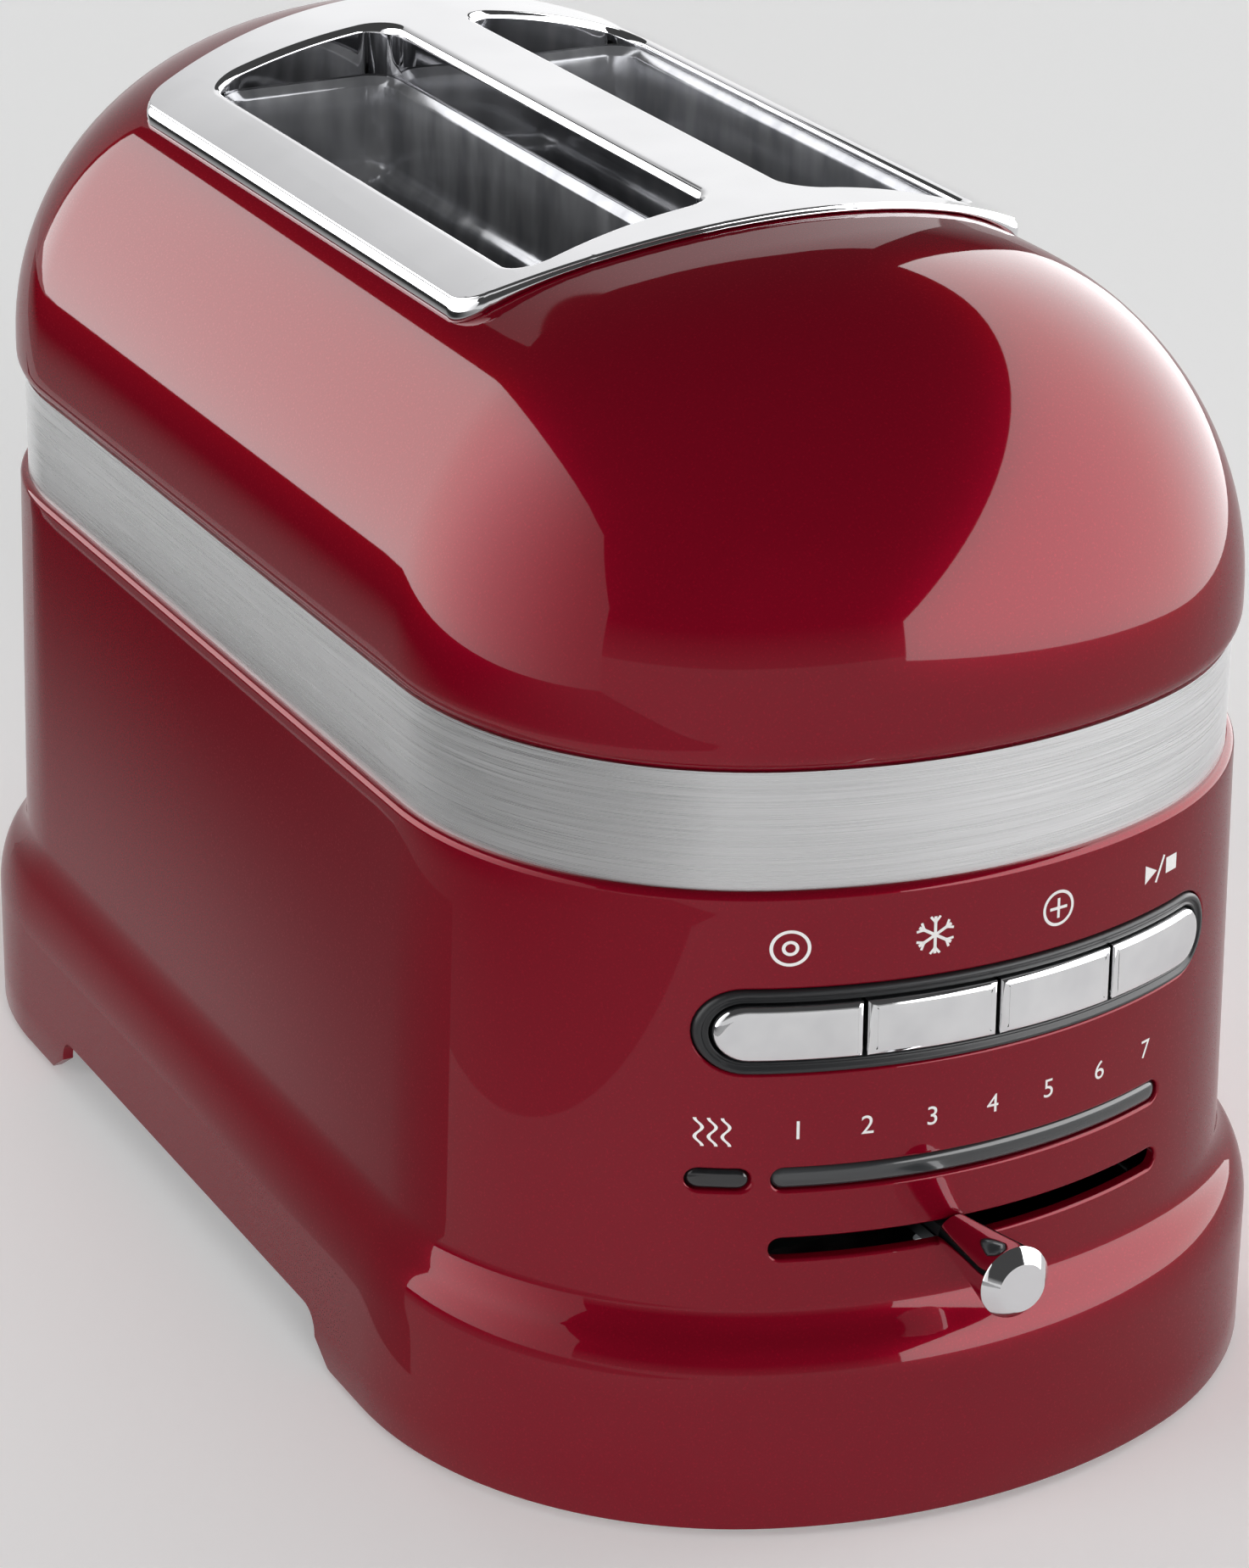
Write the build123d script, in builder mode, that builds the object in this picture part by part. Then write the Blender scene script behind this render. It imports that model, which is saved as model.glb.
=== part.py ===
"""Two-slot pop-up toaster: a cast body, a brushed band, a domed top and a powered bread lift.

Millimetres, +Z up. The origin is on the floor at the middle of the body's plan.
The long axis runs along Y, and the control face looks towards -Y.
"""

import os
from math import acos, asin, atan2, cos, degrees, pi, radians, sin, sqrt, tan

from build123d import *

os.makedirs("parts", exist_ok=True)

# Plan of the cast body at its upper rim: straight sides, bowed ends, round corners
body_half_width = 87.4
body_half_length = 165.9
end_arc_radius = 112.8
corner_arc_radius = 72.6

# Cast lower housing with its flared skirt
rim_height = 130.4
cast_wall = 2.4
wall_draft = 2.4
rim_round = 1.5
flange_width = 9.0
flange_thickness = 3.0
skirt_spread = 8.15
skirt_straight = 29.0
skirt_crease = 42.0
shoulder_sink = 0.4
shoulder_turns = (0, 25, 50, 70, 88)
floor_gap = 1.5
arch_foot_half = 79.0
arch_top_half = 70.0
arch_height = 12.0
arch_round = 14.0

# Brushed band and domed top
band_height = 23.4
band_recess = 1.75
band_sheet = 1.0
lip_radius = 6.0
lip_turn = 54.0
lip_rise = 7.2
dome_crown = 68.0
dome_arch_radius = 128.0
dome_wall = 1.8
crown_turns = (0, 15, 30, 45, 58, 69, 78, 84)
post_radius = 3.2
post_inset = 6.0

# Chrome bezel and the two bread slots
bezel_side_rim = 16.0
bezel_front_rim = 19.0
bezel_back_rim = 12.0
bezel_front_bow = 18.0
bezel_back_bow = 11.0
bezel_corner = 9.0
bezel_proud = 4.0
bezel_arch_radius = 131.0
bezel_round = 2.4
mouth_round = 1.5
slot_width = 41.0
front_room = 97.9
back_room = 86.9
slot_corner = 7.0
bar_half = 9.0
liner_sheet = 1.0
liner_ledge = 3.0
liner_ledge_drop = 29.0
liner_drop = 53.0
dome_opening_margin = 2.0

# Clearances
seat_gap = 0.2
slide_gap = 0.4
shaft_gap = 0.05

# Base plate, feet, screws and crumb tray
plate_height = 14.0
sheet = 1.2
foot_radius = 9.0
foot_stem_radius = 4.0
foot_stem = 3.0
foot_side_inset = 21.4
foot_end_inset = 53.9
vent_count = 7
vent_pitch = 9.0
vent_length = 18.0
vent_width = 4.0
boss_radius = 4.0
boss_inset = 1.4
boss_y = 70.0
screw_radius = 1.5
screw_head_radius = 3.0
screw_head = 2.0
screw_length = 9.0
tray_half_width = 54.0
tray_depth = 8.0
tray_sheet = 0.8
tray_margin = 4.0
tray_panel_margin = 3.0
tray_panel_top = 11.0
tray_panel_sheet = 2.4
tray_pull_half_width = 18.0
tray_pull_reach = 6.0
tray_pull_height = 3.0

# Heating chamber
chamber_margin = 11.0
frame_margin = 3.0
frame_drop = 4.0
frame_foot = 10.0
reflector_gap = 7.5
heater_reach = 26.0
heater_sheet = 0.8
heater_bottom = 48.0
heater_drop = 11.0
ribbon_sheet = 0.3
ribbon_width = 1.6
ribbon_count = 9
ribbon_margin = 8.0
guide_reach = 17.5
guide_close = 5.0
guide_wire_radius = 0.9
guide_bar_radius = 1.2
guide_bottom = 62.0
guide_drop = 8.0
guide_wires = 9

# Bread lift
lift_travel = 70.0
carrier_height = 120.0
carrier_half_width = 8.0
carrier_sheet = 2.0
carrier_rib = 5.0
tab_width = 6.0
tab_height = 8.0
tab_reach = 15.0
yoke_half_width = 36.0
yoke_height = 12.0
yoke_sheet = 4.0
rod_radius = 3.0
rod_x = 30.0
rod_bottom = 22.0
rod_drop = 22.0
bush_radius = 6.0
bracket_sheet = 3.0
bracket_margin = 7.0
gear_module = 1.0
gear_teeth = 18
gear_addendum = 0.9
gear_dedendum = 1.25
gear_backlash = 0.3
pressure_angle = radians(20)
flank_steps = 5
spare_teeth = 5
pinion_drop = 16.0
gear_face = 6.0
rack_back = 5.0
gear_setback = 4.0
shaft_radius = 2.5
shaft_length = 10.0
gearbox_half_width = 15.0
gearbox_height = 26.0
gearbox_depth = 12.0
motor_radius = 10.0
motor_length = 32.0
motor_neck = 2.0

# Control face
front_setback = 40.0
front_depth = 60.0
button_height = 103.0
surround_length = 111.2
surround_height = 16.6
surround_ridge = 2.4
surround_proud = 0.6
surround_depth = 14.0
button_proud = 1.4
button_depth = 4.0
button_joint = 26.6
button_gap = 0.8
button_edge = 0.6
button_row_turn = radians(60)
button_travel = 1.5
button_stem_radius = 2.5
button_stem = 4.0
switch_size = 6.0
switch_board_sheet = 1.6
switch_board_margin = 2.0
lens_height = 72.7
lens_length = 84.6
lens_width = 4.2
lens_depth = 3.5
lens_recess = 0.3
warm_lens_x = -51.2
warm_lens_length = 10.4
light_pitch = 12.7
light_count = 7
light_radius = 1.5
slider_height = 58.2
slider_slot_length = 85.5
slider_slot_width = 4.5
knob_x = -8.0
knob_root_radius = 3.75
knob_tip_radius = 7.25
knob_flat_radius = 5.3
knob_length = 24.0
knob_bevel = 1.8
knob_standoff = 0.8
stem_width = 5.0
stem_thickness = 2.4
slide_control_half_length = 47.0
slide_control_height = 10.0
slide_control_depth = 8.0
stem_entry = 4.5
control_board_setback = 25.9
control_board_half_width = 52.0
control_board_bottom = 46.0
control_board_height = 44.0
board_sheet = 1.6
board_boss_radius = 3.0
board_boss_x = 46.0
board_screw_radius = 1.2
board_screw_length = 8.0
board_screw_gap = 1.0

# Rear electrics and the cord's gland
power_board_half_width = 44.0
power_board_bottom = 42.0
power_board_top = 112.0
standoff_length = 30.0
standoff_radius = 3.0
standoff_inset = 5.0
relay_width = 20.0
relay_height = 16.0
relay_depth = 15.0
transformer_width = 34.0
transformer_height = 30.0
transformer_depth = 24.0
gland_height = 62.0
gland_bore_radius = 4.0
gland_body_radius = 6.5
gland_flange_radius = 9.0
gland_flange = 2.0
gland_nut = 4.0

# Places worked out from the sizes above
lip_height = rim_height + band_height
dome_spring = lip_height + lip_rise
dome_ridge = dome_spring + dome_crown
arch_drop = dome_arch_radius - dome_crown
arch_side = dome_arch_radius - body_half_width
shoulder_radius = (dome_arch_radius**2 - body_half_width**2 - arch_drop**2) / (2 * arch_side)
shoulder_turn = atan2(arch_drop, body_half_width - shoulder_radius)
slot_front = body_half_length - front_room
slot_back = body_half_length - back_room
slot_x = bar_half + slot_width / 2
slot_length = slot_front + slot_back
slot_y = (slot_back - slot_front) / 2
bezel_top = dome_ridge + bezel_proud
bezel_half_width = slot_x + slot_width / 2 + bezel_side_rim
bezel_front = slot_front + bezel_front_rim
bezel_back = slot_back + bezel_back_rim
liner_bottom = dome_ridge - liner_drop
chamber_front = -slot_front - chamber_margin
chamber_back = slot_back + chamber_margin
chamber_length = chamber_back - chamber_front
chamber_y = (chamber_back + chamber_front) / 2
plate_top = plate_height + sheet
foot_x = body_half_width - foot_side_inset
foot_y = body_half_length - foot_end_inset
boss_x = body_half_width - boss_inset
tray_panel_half_width = tray_half_width + tray_panel_margin
frame_top = liner_bottom - frame_drop
heater_top = liner_bottom - heater_drop
guide_top = liner_bottom - guide_drop
reflector_x = slot_x + heater_reach + reflector_gap
frame_half_width = reflector_x + frame_margin
rod_top = frame_top - rod_drop
pinion_height = carrier_height - pinion_drop
control_board_front = body_half_length - control_board_setback
control_board_top = control_board_bottom + control_board_height
front_frame_face = chamber_front - sheet
yoke_back = front_frame_face - tab_reach
rod_y = yoke_back - yoke_sheet - bush_radius
gear_radius = gear_module * gear_teeth / 2
gear_back = yoke_back - yoke_sheet - gear_setback
pinion_x = -gear_radius
gearbox_back = gear_back - gear_face - slide_gap
front_reach = body_half_length - front_setback
tray_floor = plate_top + seat_gap


def plan_face(half_width, half_length, end_radius, corner_radius, height):
    """Level face with two straight sides, two bowed ends and four round corners."""
    corner_x = half_width - corner_radius
    end_y = half_length - end_radius
    reach = sqrt((end_radius - corner_radius) ** 2 - corner_x**2)
    corner_y = end_y + reach
    spread = degrees(atan2(corner_x, reach))
    turn = 90 - spread
    with BuildSketch(Plane.XY.offset(height)) as face:
        with BuildLine():
            Line((half_width, -corner_y), (half_width, corner_y))
            CenterArc((corner_x, corner_y), corner_radius, 0, turn)
            CenterArc((0, end_y), end_radius, turn, 2 * spread)
            CenterArc((-corner_x, corner_y), corner_radius, 90 + spread, turn)
            Line((-half_width, corner_y), (-half_width, -corner_y))
            CenterArc((-corner_x, -corner_y), corner_radius, 180, turn)
            CenterArc((0, -end_y), end_radius, 180 + turn, 2 * spread)
            CenterArc((corner_x, -corner_y), corner_radius, 270 + spread, turn)
        make_face()
    return face.sketch


def plan(grow, height):
    """The body's plan, moved outwards by grow, at a height."""
    return plan_face(
        body_half_width + grow,
        body_half_length + grow,
        end_arc_radius + grow,
        corner_arc_radius + grow,
        height,
    )


def wall_spread(height):
    """How far the drafted wall stands outside the rim's plan at a height."""
    return wall_draft * (1 - height / rim_height)


def drafted(grow, low, high):
    """Sections of the drafted wall, moved outwards by grow, from low to high."""
    return [plan(wall_spread(low) + grow, low), plan(wall_spread(high) + grow, high)]


def front_y(x, grow):
    """Where the front of the plan, moved outwards by grow, lies at x."""
    end_radius = end_arc_radius + grow
    corner_radius = corner_arc_radius + grow
    corner_x = body_half_width - corner_arc_radius
    reach = sqrt((end_arc_radius - corner_arc_radius) ** 2 - corner_x**2)
    end_y = body_half_length - end_arc_radius
    if abs(x) * (end_arc_radius - corner_arc_radius) <= corner_x * end_radius:
        return -end_y - sqrt(end_radius**2 - x**2)
    return -end_y - reach - sqrt(corner_radius**2 - (abs(x) - corner_x) ** 2)


def front_oblong(x, z, length, width):
    """Round-ended slot shape, drawn from the front, behind the control face."""
    with BuildSketch(Plane.XZ.offset(front_reach)) as face:
        with Locations((x, z)):
            SlotOverall(length, width)
    return face.sketch


def dome_half_width(height, inset):
    """Half width of the dome's arched section, moved inwards by inset."""
    rise = height - dome_spring
    if rise <= 0:
        return body_half_width - inset
    if rise < (shoulder_radius - inset) * sin(shoulder_turn):
        return body_half_width - shoulder_radius + sqrt((shoulder_radius - inset) ** 2 - rise**2)
    return sqrt((dome_arch_radius - inset) ** 2 - (rise + arch_drop) ** 2)


def dome_half_length(height, inset):
    """Half length of the dome, whose ends are quarter circles, moved inwards by inset."""
    rise = height - dome_spring
    if rise <= 0:
        return body_half_length - inset
    return body_half_length - dome_crown + sqrt((dome_crown - inset) ** 2 - rise**2)


def dome_face(height, inset):
    """Level section of the dome."""
    half_width = dome_half_width(height, inset)
    share = half_width / body_half_width
    return plan_face(
        half_width,
        dome_half_length(height, inset),
        end_arc_radius * share,
        corner_arc_radius * share,
        height,
    )


def dome_crown_faces(inset):
    """Sections of the dome from its spring to just under its ridge."""
    rise = dome_crown - inset
    return [dome_face(dome_spring + rise * sin(radians(turn)), inset) for turn in crown_turns]


def bezel_face(grow, height):
    """Plan of the bezel: straight sides and bowed ends."""
    half_width = bezel_half_width + grow
    front = -bezel_front - grow
    back = bezel_back + grow
    with BuildSketch(Plane.XY.offset(height)) as face:
        with BuildLine():
            front_left = (-half_width, front + bezel_front_bow)
            front_right = (half_width, front + bezel_front_bow)
            back_left = (-half_width, back - bezel_back_bow)
            back_right = (half_width, back - bezel_back_bow)
            ThreePointArc(front_left, (0, front), front_right)
            Line(front_right, back_right)
            ThreePointArc(back_right, (0, back), back_left)
            Line(back_left, front_left)
        make_face()
        fillet(face.vertices(), bezel_corner + grow)
    return face.sketch


def slot_face(side, grow, height):
    """Plan of one bread slot, moved outwards by grow."""
    with BuildSketch(Plane.XY.offset(height)) as face:
        with Locations((side * slot_x, slot_y)):
            RectangleRounded(slot_width + 2 * grow, slot_length + 2 * grow, slot_corner + grow)
    return face.sketch


def front_normal(x):
    """Direction into the body, square to the control face at x."""
    turn = asin(x / end_arc_radius)
    return Vector(-sin(turn), cos(turn), 0)


def write(piece, name):
    """Names a finished piece and writes it to its own file."""
    piece.label = name
    export_step(piece, f"parts/{name}.step")


# Cast housing: drafted wall, flared skirt with a round shoulder, arches under the long sides
wall_at_crease = wall_spread(skirt_crease) - shoulder_sink
boss_places = [(boss_x, boss_y), (-boss_x, boss_y), (boss_x, -boss_y), (-boss_x, -boss_y)]
board_boss_places = [
    (side * board_boss_x, level)
    for side in (-1, 1)
    for level in (control_board_bottom + board_boss_radius, control_board_top - board_boss_radius)
]
with BuildPart() as lower_housing:
    extrude(plan(skirt_spread, floor_gap), amount=skirt_straight - floor_gap)
    shoulder = []
    for turn in shoulder_turns:
        reach = (skirt_spread - wall_at_crease) * cos(radians(turn))
        rise = (skirt_crease - skirt_straight) * sin(radians(turn))
        shoulder.append(plan(wall_at_crease + reach, skirt_straight + rise))
    loft(shoulder)
    loft(drafted(0, skirt_straight, rim_height), ruled=True)
    fillet(lower_housing.edges().group_by(Axis.Z)[-1], rim_round)
    loft(drafted(-cast_wall, 0, rim_height - flange_thickness), ruled=True, mode=Mode.SUBTRACT)
    extrude(plan(skirt_spread - cast_wall, 0), amount=skirt_straight - cast_wall, mode=Mode.SUBTRACT)
    mouth = plan(-flange_width, rim_height - 2 * flange_thickness)
    extrude(mouth, amount=3 * flange_thickness, mode=Mode.SUBTRACT)
    with BuildSketch(Plane.XY.offset(plate_top)):
        with Locations(boss_places):
            Circle(boss_radius)
    extrude(amount=skirt_straight - plate_top)
    for x, z in board_boss_places:
        wall_y = front_y(x, wall_spread(z) - cast_wall / 2)
        with BuildSketch(Plane.XZ.offset(control_board_front)):
            with Locations((x, z)):
                Circle(board_boss_radius)
        extrude(amount=-wall_y - control_board_front)
    with BuildSketch(Plane.YZ.offset(-2 * body_half_width)) as arch:
        Polygon(
            (-arch_foot_half, 0),
            (arch_foot_half, 0),
            (arch_top_half, arch_height),
            (-arch_top_half, arch_height),
            align=None,
        )
        fillet(arch.vertices().group_by(Axis.Y)[-1], arch_round)
    extrude(amount=4 * body_half_width, mode=Mode.SUBTRACT)
    for x, level, length, width in (
        (0, button_height, surround_length + 2 * seat_gap, surround_height + 2 * seat_gap),
        (0, lens_height, lens_length + 2 * seat_gap, lens_width + 2 * seat_gap),
        (warm_lens_x, lens_height, warm_lens_length + 2 * seat_gap, lens_width + 2 * seat_gap),
        (0, slider_height, slider_slot_length, slider_slot_width),
    ):
        extrude(front_oblong(x, level, length, width), amount=front_depth, mode=Mode.SUBTRACT)
    with BuildSketch(Plane.XZ.offset(-front_reach)):
        with Locations((0, plate_top + tray_panel_top / 2)):
            Rectangle(2 * tray_panel_half_width + 2 * slide_gap, tray_panel_top + 2 * slide_gap)
    extrude(amount=-front_depth, mode=Mode.SUBTRACT)
    with BuildSketch(Plane.XZ.offset(-front_reach)):
        with Locations((0, gland_height)):
            Circle(gland_body_radius + seat_gap)
    extrude(amount=-front_depth, mode=Mode.SUBTRACT)
    with BuildSketch(Plane.XY.offset(plate_top)):
        with Locations(boss_places):
            Circle(screw_radius + shaft_gap)
    extrude(amount=screw_length, mode=Mode.SUBTRACT)
    with BuildSketch(Plane.XZ.offset(control_board_front)):
        with Locations(board_boss_places):
            Circle(board_screw_radius + shaft_gap)
    extrude(amount=board_screw_length, mode=Mode.SUBTRACT)
write(lower_housing.part, "lower_housing")

# Steel plate that closes the underside, with vents under the chamber
foot_places = [(foot_x, foot_y), (-foot_x, foot_y), (foot_x, -foot_y), (-foot_x, -foot_y)]
with BuildPart() as base_plate:
    extrude(plan(skirt_spread - cast_wall - slide_gap, plate_height), amount=sheet)
    with BuildSketch(Plane.XY.offset(plate_height)):
        with Locations(foot_places):
            Circle(foot_stem_radius + seat_gap)
        with Locations(boss_places):
            Circle(screw_radius + shaft_gap)
    extrude(amount=sheet, mode=Mode.SUBTRACT)
    with BuildSketch(Plane.XY.offset(plate_height)):
        with Locations((0, chamber_front - chamber_margin - vent_length)):
            with GridLocations(vent_pitch, 0, vent_count, 1):
                SlotOverall(vent_length, vent_width, rotation=90)
    extrude(amount=sheet, mode=Mode.SUBTRACT)
write(base_plate.part, "base_plate")

with BuildPart() as base_screws:
    with BuildSketch(Plane.XY.offset(plate_height)):
        with Locations(boss_places):
            Circle(screw_head_radius)
    extrude(amount=-screw_head)
    with BuildSketch(Plane.XY.offset(plate_height)):
        with Locations(boss_places):
            Circle(screw_radius)
    extrude(amount=screw_length)
write(base_screws.part, "base_screws")

with BuildPart() as rubber_feet:
    with BuildSketch():
        with Locations(foot_places):
            Circle(foot_radius)
    extrude(amount=plate_height)
    with BuildSketch(Plane.XY.offset(plate_height)):
        with Locations(foot_places):
            Circle(foot_stem_radius)
    extrude(amount=foot_stem)
    fillet(rubber_feet.edges().group_by(Axis.Z)[0], floor_gap)
write(rubber_feet.part, "rubber_feet")

# Crumb tray, drawn out at the back by a curved panel that fills its opening
tray_front = chamber_front + tray_margin
with BuildPart() as crumb_tray:
    with BuildSketch(Plane.XY.offset(tray_floor)):
        with Locations((0, tray_front)):
            Rectangle(2 * tray_half_width, 2 * body_half_length, align=(Align.CENTER, Align.MIN))
    extrude(amount=tray_depth)
    extrude(plan(skirt_spread - tray_panel_sheet - seat_gap, 0), amount=rim_height, mode=Mode.INTERSECT)
    with BuildSketch(Plane.XY.offset(tray_floor + tray_sheet)):
        with Locations((0, tray_front + tray_sheet)):
            Rectangle(2 * tray_half_width - 2 * tray_sheet, body_half_length - tray_front - frame_foot,
                      align=(Align.CENTER, Align.MIN))
    extrude(amount=tray_depth, mode=Mode.SUBTRACT)
write(crumb_tray.part, "crumb_tray")

with BuildPart() as tray_handle:
    with BuildSketch(Plane.XZ.offset(-front_reach)):
        with Locations((0, plate_top + tray_panel_top / 2)):
            Rectangle(2 * tray_panel_half_width, tray_panel_top)
    extrude(amount=-front_depth)
    extrude(plan(skirt_spread, 0), amount=rim_height, mode=Mode.INTERSECT)
    extrude(plan(skirt_spread - tray_panel_sheet, 0), amount=rim_height, mode=Mode.SUBTRACT)
    with BuildSketch(Plane.XZ.offset(-body_half_length - skirt_spread + tray_panel_sheet / 2)):
        with Locations((0, plate_top + tray_panel_top / 2)):
            SlotOverall(2 * tray_pull_half_width, tray_pull_height)
    extrude(amount=-tray_pull_reach - tray_panel_sheet / 2)
write(tray_handle.part, "tray_handle")

# Brushed steel band between the housing's rim and the dome's lip, clamped by posts
with BuildPart() as steel_band:
    extrude(plan(-band_recess, rim_height), amount=band_height)
    extrude(plan(-band_recess - band_sheet, rim_height), amount=band_height, mode=Mode.SUBTRACT)
write(steel_band.part, "steel_band")

post_x = body_half_width - post_inset
post_end = body_half_length - post_inset
post_places = [(0, post_end), (0, -post_end)]
for side in (-1, 1):
    post_places += [(side * post_x, boss_y), (side * post_x, -boss_y)]
with BuildPart() as spacer_posts:
    with BuildSketch(Plane.XY.offset(rim_height)):
        with Locations(post_places):
            Circle(post_radius)
    extrude(amount=band_height)
write(spacer_posts.part, "spacer_posts")

# Domed top with a rolled lower lip and one opening under the bezel
with BuildPart() as dome_shell:
    lip = []
    for turn in (lip_turn, lip_turn * 2 / 3, lip_turn / 3, 0):
        lip_z = lip_height + lip_radius * (sin(radians(lip_turn)) - sin(radians(turn)))
        lip.append(plan(-lip_radius * (1 - cos(radians(turn))), lip_z))
    loft(lip + dome_crown_faces(0))
    inner_low = dome_face(lip_height + flange_thickness, dome_wall)
    loft([inner_low] + dome_crown_faces(dome_wall), mode=Mode.SUBTRACT)
    extrude(plan(-flange_width, lip_height), amount=flange_thickness, mode=Mode.SUBTRACT)
    for side in (-1, 1):
        mouth = slot_face(side, liner_sheet + dome_opening_margin, liner_bottom)
        extrude(mouth, amount=liner_drop + bezel_proud, mode=Mode.SUBTRACT)
write(dome_shell.part, "dome_shell")


def on_mouth_edge(edge):
    """True for an edge where a slot breaks through the bezel's arched top."""
    middle = edge.position_at(0.5)
    arch = Vector(middle.X, 0, middle.Z - bezel_top + bezel_arch_radius).length
    across = abs(middle.X) < slot_x + slot_width / 2 + seat_gap
    along = abs(middle.Y - slot_y) < slot_length / 2 + seat_gap
    return across and along and abs(arch - bezel_arch_radius) < seat_gap


# Chrome bezel that stands proud of the dome round both slots
with BuildPart() as top_bezel:
    extrude(bezel_face(0, liner_bottom), amount=liner_drop + 2 * bezel_proud)
    with BuildSketch(Plane.XZ.offset(-body_half_length)):
        with Locations((0, bezel_top - bezel_arch_radius)):
            Circle(bezel_arch_radius)
    extrude(amount=2 * body_half_length, mode=Mode.INTERSECT)
    fillet(top_bezel.faces().sort_by(Axis.Z)[-1].edges(), bezel_round)
    loft([dome_face(dome_spring - lip_rise, -seat_gap)] + dome_crown_faces(-seat_gap), mode=Mode.SUBTRACT)
    for side in (-1, 1):
        extrude(slot_face(side, 0, liner_bottom), amount=liner_drop + 2 * bezel_proud, mode=Mode.SUBTRACT)
    fillet(top_bezel.edges().filter_by(on_mouth_edge), mouth_round)
write(top_bezel.part, "top_bezel")

# Drawn steel liners below the bezel, each with a ledge part of the way down
ledge_height = dome_ridge - liner_ledge_drop
for side, side_name in ((-1, "left"), (1, "right")):
    with BuildPart() as slot_liner:
        extrude(slot_face(side, liner_sheet, ledge_height), amount=liner_ledge_drop)
        extrude(slot_face(side, liner_sheet - liner_ledge, liner_bottom), amount=ledge_height - liner_bottom)
        loft([dome_face(dome_spring - lip_rise, 0)] + dome_crown_faces(0), mode=Mode.INTERSECT)
        extrude(slot_face(side, 0, ledge_height + liner_sheet), amount=liner_drop, mode=Mode.SUBTRACT)
        extrude(slot_face(side, -liner_ledge, liner_bottom), amount=liner_drop, mode=Mode.SUBTRACT)
    write(slot_liner.part, f"{side_name}_slot_liner")

# End frames of the heating chamber, with runs for the lift's tabs and the guides' bars
guide_places = [
    (side * (slot_x + reach * guide_reach), -side * reach, side, reach)
    for side in (-1, 1)
    for reach in (-1, 1)
]
guide_run = 2 * guide_bar_radius + 2 * slide_gap
tab_run_low = carrier_height - carrier_sheet - carrier_rib - lift_travel - slide_gap
tab_run_high = carrier_height + tab_height / 2 + slide_gap
for frame_name, inner_y, away in (("front", chamber_front, -1), ("rear", chamber_back, 1)):
    with BuildPart() as end_frame:
        with BuildSketch(Plane.XZ.offset(-inner_y)):
            with Locations((0, plate_top)):
                Rectangle(2 * frame_half_width, frame_top - plate_top, align=(Align.CENTER, Align.MIN))
            with Locations((-slot_x, tab_run_low), (slot_x, tab_run_low)):
                Rectangle(tab_width + 2 * slide_gap, tab_run_high - tab_run_low,
                          align=(Align.CENTER, Align.MIN), mode=Mode.SUBTRACT)
            for rest_x, inward, side, reach in guide_places:
                for level in (guide_bottom, guide_top):
                    with Locations((rest_x + inward * guide_close / 2, level)):
                        SlotCenterToCenter(guide_close, guide_run, mode=Mode.SUBTRACT)
            if away > 0:
                with Locations((0, plate_top)):
                    Rectangle(2 * tray_half_width + 2 * tray_margin, tray_depth + tray_margin,
                              align=(Align.CENTER, Align.MIN), mode=Mode.SUBTRACT)
        extrude(amount=-away * sheet)
        with Locations(
            (-frame_half_width + frame_foot / 2, inner_y + away * frame_foot / 2, plate_top + sheet / 2),
            (frame_half_width - frame_foot / 2, inner_y + away * frame_foot / 2, plate_top + sheet / 2),
        ):
            Box(frame_foot, frame_foot, sheet)
    write(end_frame.part, f"{frame_name}_end_frame")

# Polished reflectors outside the outer heaters
for side, side_name in ((-1, "left"), (1, "right")):
    with BuildPart() as reflector:
        with BuildSketch(Plane.XY.offset(plate_top)):
            with Locations((side * reflector_x, chamber_y)):
                Rectangle(sheet, chamber_length)
        extrude(amount=frame_top - plate_top)
    write(reflector.part, f"{side_name}_reflector")

# Mica heater cards on both sides of each slot, with their ribbons on the bread's side
heater_names = {
    (-1, 1): "left_outer",
    (-1, -1): "left_inner",
    (1, -1): "right_inner",
    (1, 1): "right_outer",
}
ribbon_pitch = (heater_top - heater_bottom - 2 * ribbon_margin) / (ribbon_count - 1)
for (side, reach), place_name in heater_names.items():
    card_x = side * (slot_x + reach * heater_reach)
    with BuildPart() as heater_card:
        with BuildSketch(Plane.XY.offset(heater_bottom)):
            with Locations((card_x, chamber_y)):
                Rectangle(heater_sheet, chamber_length)
        extrude(amount=heater_top - heater_bottom)
    write(heater_card.part, f"{place_name}_heater_card")

with BuildPart() as heater_ribbons:
    for side, reach in heater_names:
        ribbon_x = side * (slot_x + reach * (heater_reach - heater_sheet / 2 - ribbon_sheet / 2))
        for row in range(ribbon_count):
            with Locations((ribbon_x, chamber_y, heater_bottom + ribbon_margin + row * ribbon_pitch)):
                Box(ribbon_sheet, chamber_length - 2 * ribbon_margin, ribbon_width)
write(heater_ribbons.part, "heater_ribbons")

# Wire guides that close on the bread as it goes down
wire_pitch = (slot_length - 2 * slot_corner) / (guide_wires - 1)
for rest_x, inward, side, reach in guide_places:
    with BuildPart() as guide:
        for level in (guide_bottom, guide_top):
            with BuildSketch(Plane.XZ.offset(-chamber_back - sheet)):
                with Locations((rest_x, level)):
                    Circle(guide_bar_radius)
            extrude(amount=chamber_length + 2 * sheet)
        with BuildSketch(Plane.XY.offset(guide_bottom)):
            with Locations((rest_x, slot_y)):
                with GridLocations(0, wire_pitch, 1, guide_wires):
                    Circle(guide_wire_radius)
        extrude(amount=guide_top - guide_bottom)
    write(guide.part, f"{heater_names[(side, reach)]}_guide")

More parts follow.
